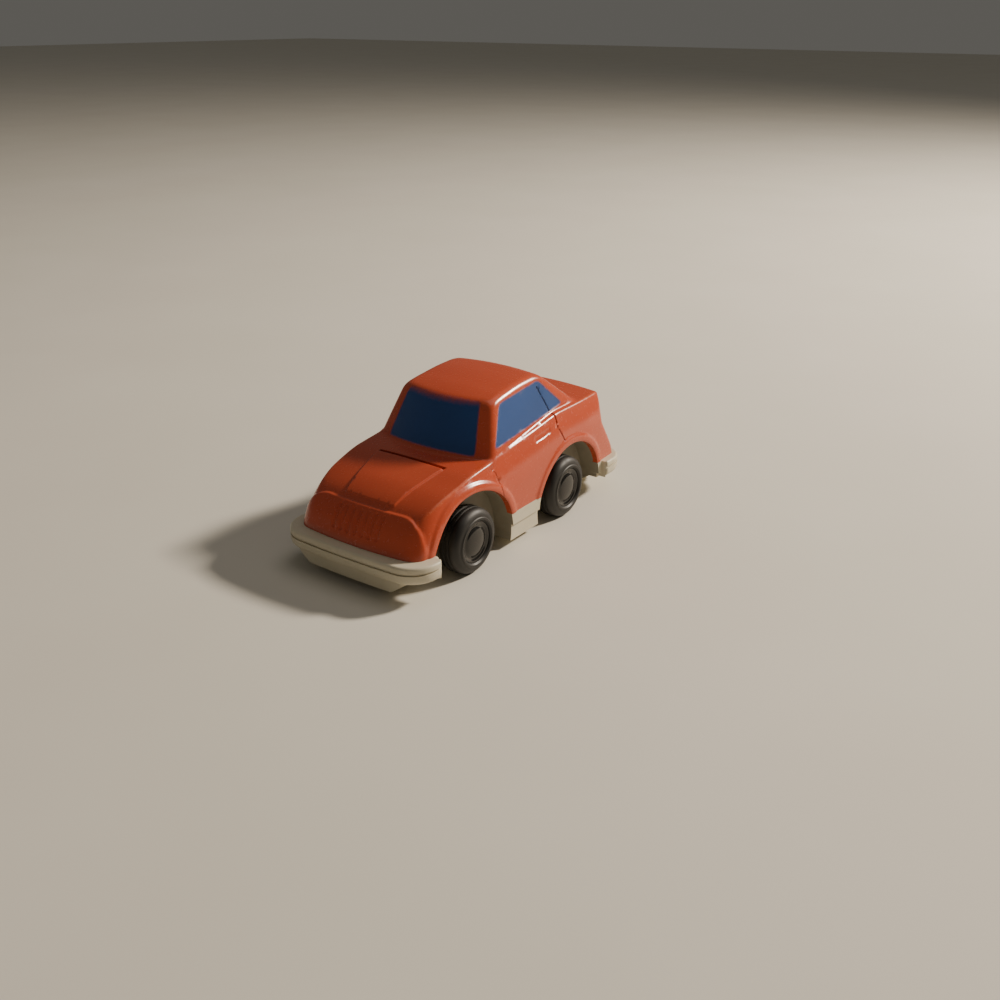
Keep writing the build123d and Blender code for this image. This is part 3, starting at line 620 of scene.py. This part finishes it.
def where_painted(tree, place):
    """1 on the windows: a mask's edge wanders by a tenth of a millimetre and fades over half of one."""
    edge_of_paint = add_node(tree, "ShaderNodeAttribute", {"attribute_name": "paint_edge"}).outputs["Fac"]
    mask_noise = add_node(tree, "ShaderNodeTexNoise", None, {"Vector": place, "Scale": 1.6, "Detail": 3})
    wander = add_node(
        tree,
        "ShaderNodeMath",
        {"operation": "MULTIPLY_ADD"},
        {0: mask_noise.outputs["Fac"], 1: 0.24, 2: edge_of_paint},
    ).outputs[0]
    return add_node(
        tree,
        "ShaderNodeMapRange",
        {"interpolation_type": "SMOOTHSTEP"},
        {"Value": wander, "From Min": 0.42, "From Max": -0.1},
    ).outputs[0]


# %% Orange polystyrene, with sprayed blue windows
def moulded_polystyrene():
    """Glossy orange plastic with handling wear, dust in the grooves and painted windows."""
    material, tree, place, shader = new_material("orange_polystyrene_shell")
    # slow change of tone over about 12 mm, as where the melt flowed
    flow = add_node(tree, "ShaderNodeTexNoise", None, {"Vector": place, "Scale": 1 / 12, "Detail": 2})
    # scuffs: fine streaks about 0.8 mm long, drawn three times as coarse as real ones so that they show
    streaks = add_node(
        tree,
        "ShaderNodeTexNoise",
        None,
        {"Vector": place, "Scale": 1.2, "Detail": 6, "Roughness": 0.7, "Distortion": 0.6},
    )
    orange = worn_and_shaded_orange(tree, flow.outputs["Fac"], streaks.outputs["Fac"])
    blue = sprayed_blue(tree, place, flow.outputs["Fac"])
    painted = where_painted(tree, place)
    surface = blend_colours(tree, painted, orange, blue)
    plastic_gloss = add_node(
        tree,
        "ShaderNodeMapRange",
        None,
        {"Value": streaks.outputs["Fac"], "From Min": 0.3, "From Max": 0.75, "To Min": 0.18, "To Max": 0.32},
    ).outputs[0]
    gloss = add_node(tree, "ShaderNodeMix", None, {0: painted, 2: plastic_gloss, 3: 0.38}).outputs[0]
    # orange-peel of the mould's polish, about 0.6 mm from crest to crest and very shallow
    peel = add_node(tree, "ShaderNodeTexNoise", None, {"Vector": place, "Scale": 1.7, "Detail": 3})
    bump = add_node(
        tree,
        "ShaderNodeBump",
        None,
        {"Height": peel.outputs["Fac"], "Strength": 0.22, "Distance": 0.02 * MM},
    )
    shader.inputs["IOR"].default_value = 1.55
    shader.inputs["Subsurface Weight"].default_value = 0.06
    shader.inputs["Subsurface Radius"].default_value = (0.0012, 0.0005, 0.0002)
    shader.inputs["Subsurface Scale"].default_value = 0.5
    link(tree, shader, Base_Color=surface, Roughness=gloss, Normal=bump.outputs["Normal"])
    return material


shell_plastic = moulded_polystyrene()
shell_mesh.materials.append(shell_plastic)
print("shell material:", len(shell_plastic.node_tree.nodes), "nodes")

# %% [markdown]
# ## The tray's plastic
#
# The tray, bumpers and wheel wells are one moulding in ivory polypropylene. It is softer and waxier than
# the shell, so it has a broad, low sheen. Age has yellowed it, the underside has rubbed on floors, and
# there is a brown stain on the sill below the driver's door. The wheel wells are painted darker, as
# painted shade for the shade that falls inside them.

# %% Ivory polypropylene
SILL_STAIN = (17.0, 6.6, 6.7)  # mm, the middle of the stain on the left sill


def ivory_polypropylene(name, grime_and_shade):
    """Waxy ivory plastic, yellowed and scuffed, and darkened by an amount: light grime on the tray, painted
    shade in the wells.
    """
    material, tree, place, shader = new_material(name)
    age = add_node(tree, "ShaderNodeTexNoise", None, {"Vector": place, "Scale": 1 / 9, "Detail": 3})
    ivory = blend_colours(tree, age.outputs["Fac"], colour("#D3CCB8"), colour("#C6BDA3"))
    # scratches from floors, 1 mm apart on the real tray
    rub = add_node(
        tree,
        "ShaderNodeTexNoise",
        None,
        {"Vector": place, "Scale": 0.9, "Detail": 8, "Roughness": 0.72, "Distortion": 1.2},
    )
    smear = add_node(
        tree,
        "ShaderNodeMapRange",
        None,
        {"Value": rub.outputs["Fac"], "From Min": 0.56, "From Max": 0.74, "To Max": 0.4},
    ).outputs[0]
    ivory = blend_colours(tree, smear, ivory, colour("#A89A78"))
    # the stain fades out over 2.4 mm from its middle and is broken up by the same noise
    away = add_node(
        tree, "ShaderNodeVectorMath", {"operation": "DISTANCE"}, {0: place, 1: SILL_STAIN}
    ).outputs["Value"]
    ragged = add_node(
        tree,
        "ShaderNodeMath",
        {"operation": "MULTIPLY_ADD"},
        {0: rub.outputs["Fac"], 1: 5.0, 2: away},
    ).outputs[0]
    stain = add_node(
        tree,
        "ShaderNodeMapRange",
        {"interpolation_type": "SMOOTHSTEP"},
        {"Value": ragged, "From Min": 4.4, "From Max": 3.2, "To Max": 0.75},
    ).outputs[0]
    ivory = blend_colours(tree, stain, ivory, colour("#7A5A3A"))
    # the darkening lies in cloudy patches about 4 mm across; it is a little grime on the tray and painted
    # shade in the wheel wells
    grime_and_shade_cloud = add_node(tree, "ShaderNodeTexNoise", None, {"Vector": place, "Scale": 0.25, "Detail": 4})
    grime_and_shade_amount = add_node(
        tree,
        "ShaderNodeMapRange",
        None,
        {
            "Value": grime_and_shade_cloud.outputs["Fac"],
            "From Min": 0.2,
            "From Max": 0.7,
            "To Min": 0.8 * grime_and_shade,
            "To Max": grime_and_shade,
        },
    ).outputs[0]
    ivory = blend_colours(tree, grime_and_shade_amount, ivory, colour("#4A4338"))
    sheen = add_node(
        tree,
        "ShaderNodeMapRange",
        None,
        {"Value": rub.outputs["Fac"], "From Min": 0.3, "From Max": 0.7, "To Min": 0.38, "To Max": 0.58},
    ).outputs[0]
    # spark-eroded mould texture, 0.25 mm grain
    grain = add_node(tree, "ShaderNodeTexNoise", None, {"Vector": place, "Scale": 4, "Detail": 2})
    bump = add_node(
        tree,
        "ShaderNodeBump",
        None,
        {"Height": grain.outputs["Fac"], "Strength": 0.3, "Distance": 0.02 * MM},
    )
    shader.inputs["IOR"].default_value = 1.49
    shader.inputs["Subsurface Weight"].default_value = 0.1
    shader.inputs["Subsurface Radius"].default_value = (0.0015, 0.0011, 0.0007)
    shader.inputs["Subsurface Scale"].default_value = 0.5
    link(tree, shader, Base_Color=ivory, Roughness=sheen, Normal=bump.outputs["Normal"])
    return material


tray_plastic = ivory_polypropylene("ivory_polypropylene_tray", 0.03)
# the wheel wells get the same ivory, darkened heavily as painted shade
well_painted_shade_plastic = ivory_polypropylene("ivory_wheel_well_painted_shade", 0.66)

# %% [markdown]
# ## Plain plastics, rubber and metals
#
# The other finishes share one shape: two tones that blend over a few millimetres, a roughness that moves
# between two values, and a grain. So one function makes them, and each finish is a line that says what
# the real material is and what that gives the eye.

# %% One function for the simpler finishes
def finish(name, tones, rough, grain_mm, grain_depth, metal=0.0, index=None):
    """A finish of two blended tones. grain_mm is the size of its grain and grain_depth its depth in mm."""
    material, tree, place, shader = new_material(name)
    cloud = add_node(
        tree, "ShaderNodeTexNoise", None, {"Vector": place, "Scale": 0.35, "Detail": 5, "Roughness": 0.6}
    )
    tone = blend_colours(tree, cloud.outputs["Fac"], colour(tones[0]), colour(tones[1]))
    rubbed = add_node(
        tree,
        "ShaderNodeMapRange",
        None,
        {
            "Value": cloud.outputs["Fac"],
            "From Min": 0.3,
            "From Max": 0.7,
            "To Min": rough[0],
            "To Max": rough[1],
        },
    ).outputs[0]
    grain = add_node(tree, "ShaderNodeTexNoise", None, {"Vector": place, "Scale": 1 / grain_mm, "Detail": 3})
    bump = add_node(
        tree,
        "ShaderNodeBump",
        None,
        {"Height": grain.outputs["Fac"], "Strength": 0.5, "Distance": grain_depth * MM},
    )
    shader.inputs["Metallic"].default_value = metal
    if index:
        shader.inputs["IOR"].default_value = index
    link(tree, shader, Base_Color=tone, Roughness=rubbed, Normal=bump.outputs["Normal"])
    return material


# Black polystyrene, mirror-polished in the mould: the wheel discs catch a sharp highlight.
hub_plastic = finish("black_polystyrene_hub", ("#100F0D", "#181613"), (0.12, 0.22), 0.8, 0.012, index=1.58)
# Black PVC tyre: satin, a little dusty.
tyre_rubber = finish("black_vinyl_tyre", ("#131210", "#211F1C"), (0.42, 0.6), 0.3, 0.02, index=1.53)
# Drawn steel rod, bright but not polished.
axle_steel = finish("drawn_steel_axle", ("#A9A7A2", "#C2C0BB"), (0.22, 0.36), 0.25, 0.008, metal=1.0)
# Zinc-plated screws with a faint yellow cast.
plated_steel = finish("zinc_plated_screw", ("#B4B1A2", "#CFCBB9"), (0.26, 0.42), 0.2, 0.008, metal=1.0)
# Blued spring strip: dark, oily steel.
spring_steel = finish("blued_spring_strip", ("#3E4450", "#5A5F68"), (0.24, 0.4), 0.3, 0.006, metal=1.0)
# Natural acetal gears: milky white and slippery.
gear_plastic = finish("natural_acetal_gear", ("#EDEBE2", "#F6F4EC"), (0.3, 0.42), 0.4, 0.01, index=1.48)
# Grey polystyrene motor case.
case_plastic = finish("grey_polystyrene_case", ("#6F7276", "#7C7F83"), (0.36, 0.5), 0.5, 0.015, index=1.55)
print("materials so far:", len(bpy.data.materials))

# %% [markdown]
# ## The tray
#
# The measured tray has the right places and openings but perfectly sharp edges, and no mould makes those.
# A copy of it is merged into one skin and its flat areas are joined back into single faces. A bevel of a
# tenth of a millimetre rounds its plain edges. The bumpers are much rounder, and a bevel that wide would
# run into the groove along them. So their walls are cut level at several heights instead, and each cut is
# drawn in by as much as a true arc would be.

# %% Copies of measured nodes, joined up and rounded
def copy_of(node):
    """A bmesh of a measured node, with its loose triangles merged and flat areas joined."""
    form = bmesh.new()
    form.from_mesh(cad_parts[node].data)
    bmesh.ops.remove_doubles(form, verts=form.verts, dist=0.002 * MM)
    bmesh.ops.dissolve_limit(
        form, angle_limit=math.radians(0.4), verts=form.verts, edges=form.edges, delimit={"NORMAL"}
    )
    return form


def sharp_edges(form, least):
    """The edges where two faces meet at more than an angle in degrees."""
    return [
        e for e in form.edges if len(e.link_faces) == 2 and e.calc_face_angle(0) > math.radians(least)
    ]


def round_off(form, edges, size, steps):
    """Round chosen edges by a size in mm."""
    bmesh.ops.bevel(
        form,
        geom=edges,
        offset=size * MM,
        segments=steps,
        profile=0.5,
        affect="EDGES",
        clamp_overlap=True,
        miter_outer="ARC",
        harden_normals=False,
    )


def as_object(form, name, material):
    """Turn a bmesh into a linked object with a material, smooth but for its sharp edges."""
    mesh = bpy.data.meshes.new(name)
    form.to_mesh(mesh)
    form.free()
    mesh.materials.clear()
    mesh.materials.append(material)
    mesh.shade_smooth()
    mesh.set_sharp_from_angle(angle=math.radians(32))
    made = bpy.data.objects.new(name, mesh)
    bpy.context.scene.collection.objects.link(made)
    return made


def apply_modifiers(made):
    """Replace an object's mesh with its finished one and drop its modifiers."""
    bpy.context.view_layer.update()
    finished = bpy.data.meshes.new_from_object(made.evaluated_get(bpy.context.evaluated_depsgraph_get()))
    made.modifiers.clear()
    made.data = finished
    return made


FOOT_ROUND, LIP_ROUND = 1.3, 0.6  # mm, the arcs along a bumper's lower and upper edge
foot_z = 4.3  # mm, the bumpers' lower edge


def bumper_walls(form):
    """The faces of both bumpers' outer walls, each with the way it faces."""
    walls = {}
    for face in form.faces:
        x, y, z = face.calc_center_median() / MM
        away = Vector((x / 18.5, (y - math.copysign(24, y)) / 15, 0))
        if abs(y) > 30 and z > foot_z and abs(face.normal.z) < 0.1 and face.normal.dot(away) > 0.2:
            walls[face] = face.normal.copy()
    return walls


def round_bumpers(form):
    """Cut the bumpers' walls level at several heights and draw each cut in, so both edges become arcs."""
    turns = np.radians((12, 26, 42, 60, 89))
    cuts = [foot_z + FOOT_ROUND * (1 - math.cos(t)) for t in turns]
    cuts += [seam_z - LIP_ROUND * (1 - math.cos(t)) for t in turns]
    for height in cuts:
        walls = list(bumper_walls(form))
        near = {e for f in walls for e in f.edges} | {v for f in walls for v in f.verts}
        level = (0, 0, height * MM)
        bmesh.ops.bisect_plane(form, geom=walls + list(near), plane_co=level, plane_no=(0, 0, 1))
    ways = {}
    for face, way in bumper_walls(form).items():
        for corner in face.verts:
            ways[corner] = ways.get(corner, Vector()) + way
    for corner, way in ways.items():
        above, below = corner.co.z / MM - foot_z, seam_z - corner.co.z / MM
        inset = 0.0
        for gap, size in ((above, FOOT_ROUND), (below, LIP_ROUND)):
            if gap < size:
                inset += size - math.sqrt(max(size**2 - (size - max(gap, 0)) ** 2, 0))
        corner.co -= way.normalized() * inset * MM
    return len(ways)


tray_form = copy_of("chassis")
print("tray:", len(tray_form.faces), "faces;", round_bumpers(tray_form), "corners on the bumpers' walls")

# %% Bevel the tray's other edges and paint shade into its wells
WELL_MOUTH = 17.1  # mm from the middle of the car to where a wheel well ends
round_off(tray_form, sharp_edges(tray_form, 40), 0.1, 1)
tray = as_object(tray_form, "moulded_tray", tray_plastic)
tray.data.materials.append(well_painted_shade_plastic)
# faces inside the wheel wells take the second, darker material, which is painted shade
for face in tray.data.polygons:
    x, y, z = face.center / MM
    for (arch_y, arch_z), radius in ARCHES:
        in_well = math.hypot(y - arch_y, z - arch_z) < radius + 0.05 and abs(x) < WELL_MOUTH
        if in_well and (z > 5 or abs(face.normal.z) < 0.98):
            face.material_index = 1
weights = tray.modifiers.new("even_shading", "WEIGHTED_NORMAL")
weights.keep_sharp = True
apply_modifiers(tray)
print("moulded_tray:", len(tray.data.polygons), "faces")

# %% [markdown]
# ## Wheels
#
# Each wheel is a hard disc with a soft tyre stretched over it. Both are turned shapes, so each is a
# profile swept round the axle, with true arcs at its corners. Normals weighted by area then keep the
# flat parts flat in the light right up to their rounded shoulders. The fine ribs across the tyre's tread
# repeat, so Geometry Nodes place them.

# %% Profiles with rounded corners, swept round an axle
def rounded(corners, steps=6):
    """Points (x, radius) of a closed profile in mm, from corners of (x, radius, corner radius)."""
    line = []
    for i, (x, r, size) in enumerate(corners):
        here = np.array([x, r])
        if size == 0:
            line.append(here)
            continue
        before = np.array(corners[i - 1][:2]) - here
        after = np.array(corners[(i + 1) % len(corners)][:2]) - here
        before, after = before / np.linalg.norm(before), after / np.linalg.norm(after)
        half_turn = math.acos(np.clip(before @ after, -1, 1)) / 2
        middle = (before + after) / np.linalg.norm(before + after)
        centre = here + middle * size / math.sin(half_turn)
        reach = size / math.tan(half_turn)
        first, last = here + before * reach - centre, here + after * reach - centre
        for share in np.linspace(0, 1, steps + 1):
            spoke = first * (1 - share) + last * share
            line.append(centre + spoke * size / np.linalg.norm(spoke))
    return line


def even_out(made):
    """Normals weighted by face area, made part of the mesh."""
    weights = made.modifiers.new("even_shading", "WEIGHTED_NORMAL")
    weights.mode = "FACE_AREA_WITH_ANGLE"
    weights.keep_sharp = True
    return apply_modifiers(made)


def turned(name, corners, axle_y, side, material, around=144):
    """Sweep a closed profile round an axle; side is 1 on the car's left and -1 on its right."""
    line = rounded(corners)
    form = bmesh.new()
    rings = []
    for x, r in line:
        angles = np.linspace(0, 2 * math.pi, around, endpoint=False)
        ring = [
            (side * x * MM, (axle_y + r * math.cos(t)) * MM, (axle_z + r * math.sin(t)) * MM) for t in angles
        ]
        rings.append([form.verts.new(place) for place in ring])
    for i, ring in enumerate(rings):
        after = (i + 1) % len(rings)
        if line[i][1] < 1e-6 and line[after][1] < 1e-6:
            continue
        for k in range(around):
            n = (k + 1) % around
            form.faces.new((ring[k], ring[n], rings[after][n], rings[after][k]))
    bmesh.ops.remove_doubles(form, verts=form.verts, dist=1e-8)
    bmesh.ops.recalc_face_normals(form, faces=form.faces)
    return even_out(as_object(form, name, material))


axle_z = (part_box("front_axle")[0].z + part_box("front_axle")[1].z) / 2 / MM
print("axle height:", round(axle_z, 3), "mm")

# %% [markdown]
# ## Ribs across the tread
#
# The real tyre is too small for a proper tread, so its mould only has two grooves round it and short ribs
# on the two bands beside the inner groove. A small node tree lays one rib along the axle, turns a copy of
# it to each place round the wheel, and joins them to the tyre.

# %% A node tree that puts ribs round a tyre
RIBS = {
    "Count": ("NodeSocketInt", 64),
    "Rib Radius": ("NodeSocketFloat", 0.12 * MM),
    "Rib Length": ("NodeSocketFloat", 0.55 * MM),
    "Ring Radius": ("NodeSocketFloat", 6.87 * MM),
    "Axle": ("NodeSocketVector", (0.0, 0.0, 0.0)),
    "Band 1": ("NodeSocketFloat", 0.0),
    "Band 2": ("NodeSocketFloat", 0.0),
    "Rubber": ("NodeSocketMaterial", None),
}


def rib_tree():
    """The node tree: a tyre in, the same tyre with two bands of ribs out."""
    tree = bpy.data.node_groups.new("tread_ribs", "GeometryNodeTree")
    tree.interface.new_socket("Tyre", in_out="INPUT", socket_type="NodeSocketGeometry")
    for label, (kind, _) in RIBS.items():
        tree.interface.new_socket(label, in_out="INPUT", socket_type=kind)
    tree.interface.new_socket("Tyre", in_out="OUTPUT", socket_type="NodeSocketGeometry")
    given = add_node(tree, "NodeGroupInput").outputs
    rod = add_node(
        tree,
        "GeometryNodeMeshCylinder",
        None,
        {"Vertices": 8, "Radius": given["Rib Radius"], "Depth": given["Rib Length"]},
    )
    turn_step = add_node(tree, "ShaderNodeMath", {"operation": "DIVIDE"}, {0: math.tau, 1: given["Count"]})
    number = add_node(tree, "GeometryNodeInputIndex")
    angle = add_node(
        tree, "ShaderNodeMath", {"operation": "MULTIPLY"}, {0: number.outputs[0], 1: turn_step.outputs[0]}
    )
    turn = add_node(tree, "ShaderNodeCombineXYZ", None, {"X": angle.outputs[0]})
    places = add_node(tree, "GeometryNodeMeshLine", None, {"Count": given["Count"], "Offset": (0, 0, 0)})
    bands = []
    for label in ("Band 1", "Band 2"):
        offset = add_node(tree, "ShaderNodeCombineXYZ", None, {"X": given[label], "Y": given["Ring Radius"]})
        laid = add_node(
            tree,
            "GeometryNodeTransform",
            None,
            {
                "Geometry": rod.outputs["Mesh"],
                "Translation": offset.outputs[0],
                "Rotation": (0, math.pi / 2, 0),
            },
        ).outputs["Geometry"]
        band = add_node(
            tree,
            "GeometryNodeInstanceOnPoints",
            None,
            {"Points": places.outputs["Mesh"], "Instance": laid, "Rotation": turn.outputs[0]},
        )
        bands.append(band.outputs["Instances"])
    ring = add_node(tree, "GeometryNodeJoinGeometry")
    for band in reversed(bands):
        tree.links.new(band, ring.inputs[0])
    on_axle = add_node(
        tree, "GeometryNodeTransform", None, {"Geometry": ring.outputs[0], "Translation": given["Axle"]}
    )
    real = add_node(tree, "GeometryNodeRealizeInstances", None, {"Geometry": on_axle.outputs[0]})
    joined = add_node(tree, "GeometryNodeJoinGeometry")
    tree.links.new(real.outputs[0], joined.inputs[0])
    tree.links.new(given["Tyre"], joined.inputs[0])
    dressed = add_node(
        tree, "GeometryNodeSetMaterial", None, {"Geometry": joined.outputs[0], "Material": given["Rubber"]}
    )
    add_node(tree, "NodeGroupOutput", None, {"Tyre": dressed.outputs[0]})
    return tree


def with_ribs(tyre, axle_y, bands):
    """Run the rib tree on a tyre and keep the result as its mesh."""
    run = tyre.modifiers.new("tread_ribs", "NODES")
    run.node_group = tread_ribs
    values = {label: value for label, (_, value) in RIBS.items()}
    values["Axle"] = (0.0, axle_y * MM, axle_z * MM)
    values["Band 1"], values["Band 2"] = (x * MM for x in bands)
    values["Rubber"] = tyre_rubber
    for socket in tread_ribs.interface.items_tree:
        if socket.in_out == "INPUT" and socket.name in values:
            run[socket.identifier] = values[socket.name]
    return apply_modifiers(tyre)


tread_ribs = rib_tree()
print("rib tree:", len(tread_ribs.nodes), "nodes")

# %% [markdown]
# ## The four wheels
#
# The disc's face is a shallow dish with a polished dome that fills most of it. The tyre has a wide, soft
# outer shoulder and a raised ring where it grips the disc.

# %% The wheels' profiles
DOME_RADIUS, DOME_RISE = 3.1, 0.62
DOME_STEPS = (3.06, 2.95, 2.75, 2.45, 2.0, 1.5, 1.0, 0.5, 0)
DOME = [(17.2 + DOME_RISE * math.sqrt(1 - (r / DOME_RADIUS) ** 2), r, 0) for r in DOME_STEPS]
HUB = [
    (12.95, 0.78, 0),
    (12.95, 1.65, 0.12),
    (15.4, 1.65, 0.2),
    (15.4, 3.55, 0.2),
    (13.55, 3.55, 0.15),
    (13.55, 4.38, 0.12),
    (17.5, 4.38, 0.12),
    (17.42, 4.0, 0.3),
    (17.16, 3.5, 0.3),
    *DOME,
    (16.55, 0, 0),
    (16.55, 0.78, 0),
]
TREAD_GROOVE = ((0, 6.93), (0.06, 6.75), (0.26, 6.75), (0.32, 6.93))
TREAD = [(x + dx, r, 0.05) for x in (14.5, 15.6) for dx, r in TREAD_GROOVE]
RIB_BANDS = (14.17, 15.2)  # mm from the middle of the car to each band of ribs
TYRE = [
    (13.0, 4.4, 0.1),
    (12.95, 6.93, 0.9),
    *TREAD,
    (17.86, 6.93, 1.6),
    (17.76, 5.34, 0.3),
    (17.97, 5.14, 0.14),
    (17.97, 4.74, 0.16),
    (17.6, 4.4, 0.1),
]

wheels = {}
for end, axle_y in (("front", front_y), ("rear", rear_y)):
    for hand, side in (("left", 1), ("right", -1)):
        disc = turned(f"{end}_{hand}_wheel_disc", HUB, axle_y, side, hub_plastic)
        tyre = turned(f"{end}_{hand}_soft_tyre", TYRE, axle_y, side, tyre_rubber)
        with_ribs(tyre, axle_y, [side * x for x in RIB_BANDS])
        wheels[end, hand] = (disc, tyre)
print("wheel disc:", len(disc.data.polygons), "faces; tyre:", len(tyre.data.polygons), "faces")

# %% [markdown]
# ## The spring motor and the axles
#
# The motor is shut away inside the car, but it is there when the car is taken apart. Its measured pieces
# have the right shape already, so they keep it and only get their finishes.

# %% Finishes for the measured pieces that stay
KEPT = {
    "front_axle": axle_steel,
    "rear_axle": axle_steel,
    "chassis_screws": plated_steel,
    "axle_pinion": gear_plastic,
    "reduction_gear": gear_plastic,
    "spring_gear": gear_plastic,
    "spring_arbor": axle_steel,
    "gear_pin": axle_steel,
    "mainspring": spring_steel,
    "motor_case": case_plastic,
    "motor_cover": case_plastic,
}
for node, material in KEPT.items():
    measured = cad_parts[node]
    if not measured.material_slots:
        measured.data.materials.append(material)
    for place in measured.material_slots:
        place.material = material
print("measured pieces kept:", ", ".join(KEPT))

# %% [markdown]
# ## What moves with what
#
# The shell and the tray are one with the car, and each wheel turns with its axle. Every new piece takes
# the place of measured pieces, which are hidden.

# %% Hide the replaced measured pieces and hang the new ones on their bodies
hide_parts("body_shell")
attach(shell, "car")
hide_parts("chassis")
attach(tray, "car")
for (end, hand), (disc, tyre) in wheels.items():
    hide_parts(f"{end}_{hand}_hub")
    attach(disc, f"{end}_wheels")
    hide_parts(f"{end}_{hand}_tyre")
    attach(tyre, f"{end}_wheels")

# %% [markdown]
# ## Floor, light and camera
#
# The car stands on a pale sheet. One small, warm lamp stands behind it and to its left, about a third of
# the way up, so the left side is lit, the nose is in shade and a crisp shadow falls forward to the right.
# A dim lamp overhead and an even sky fill the shade.

# %% Floor
def pale_paper():
    """Matt off-white paper with a faint unevenness."""
    material, tree, place, shader = new_material("pale_matt_paper")
    cloud = add_node(tree, "ShaderNodeTexNoise", None, {"Vector": place, "Scale": 1 / 60, "Detail": 3})
    tone = blend_colours(tree, cloud.outputs["Fac"], colour("#D5D0C4"), colour("#DEDACF"))
    shader.inputs["Roughness"].default_value = 0.85
    link(tree, shader, Base_Color=tone)
    return material


floor_form = bmesh.new()
bmesh.ops.create_grid(floor_form, x_segments=1, y_segments=1, size=3.0)
floor = as_object(floor_form, "paper_floor", pale_paper())


# %% Light
def aim(thing, place, target):
    """Put a lamp or camera at a place (m), looking at a target."""
    thing.location = place
    thing.rotation_euler = (Vector(target) - Vector(place)).to_track_quat("-Z", "Y").to_euler()
    bpy.context.scene.collection.objects.link(thing)


def soft_lamp(name, place, width, watts, tint):
    """A square area lamp aimed at the car."""
    lamp = bpy.data.lights.new(name, "AREA")
    lamp.shape = "SQUARE"
    lamp.size = width
    lamp.energy = watts
    lamp.color = colour(tint)[:3]
    aim(bpy.data.objects.new(name, lamp), place, (0, 0, 0.015))


soft_lamp("window_light", (0.42, 0.62, 0.50), 0.09, 12.6, "#FFF1DF")
soft_lamp("fill_light", (0.1, 0.3, 1.1), 0.8, 1.6, "#FFF4E8")

sky = bpy.data.worlds.new("even_sky")
sky.use_nodes = True
sky.node_tree.nodes["Background"].inputs["Color"].default_value = colour("#C9C5BC")
sky.node_tree.nodes["Background"].inputs["Strength"].default_value = 0.19
bpy.context.scene.world = sky

# %% Camera
lens = bpy.data.cameras.new("table_camera")
lens.lens = 39.6
lens.sensor_width = 36.0
lens.clip_start = 0.005
camera = bpy.data.objects.new("table_camera", lens)
camera.location = (0.13576, -0.17736, 0.10438)
camera.rotation_euler = [math.radians(angle) for angle in (65.9, -0.17, 35.58)]
bpy.context.scene.collection.objects.link(camera)
bpy.context.scene.camera = camera
print("camera", [round(value, 3) for value in camera.location])
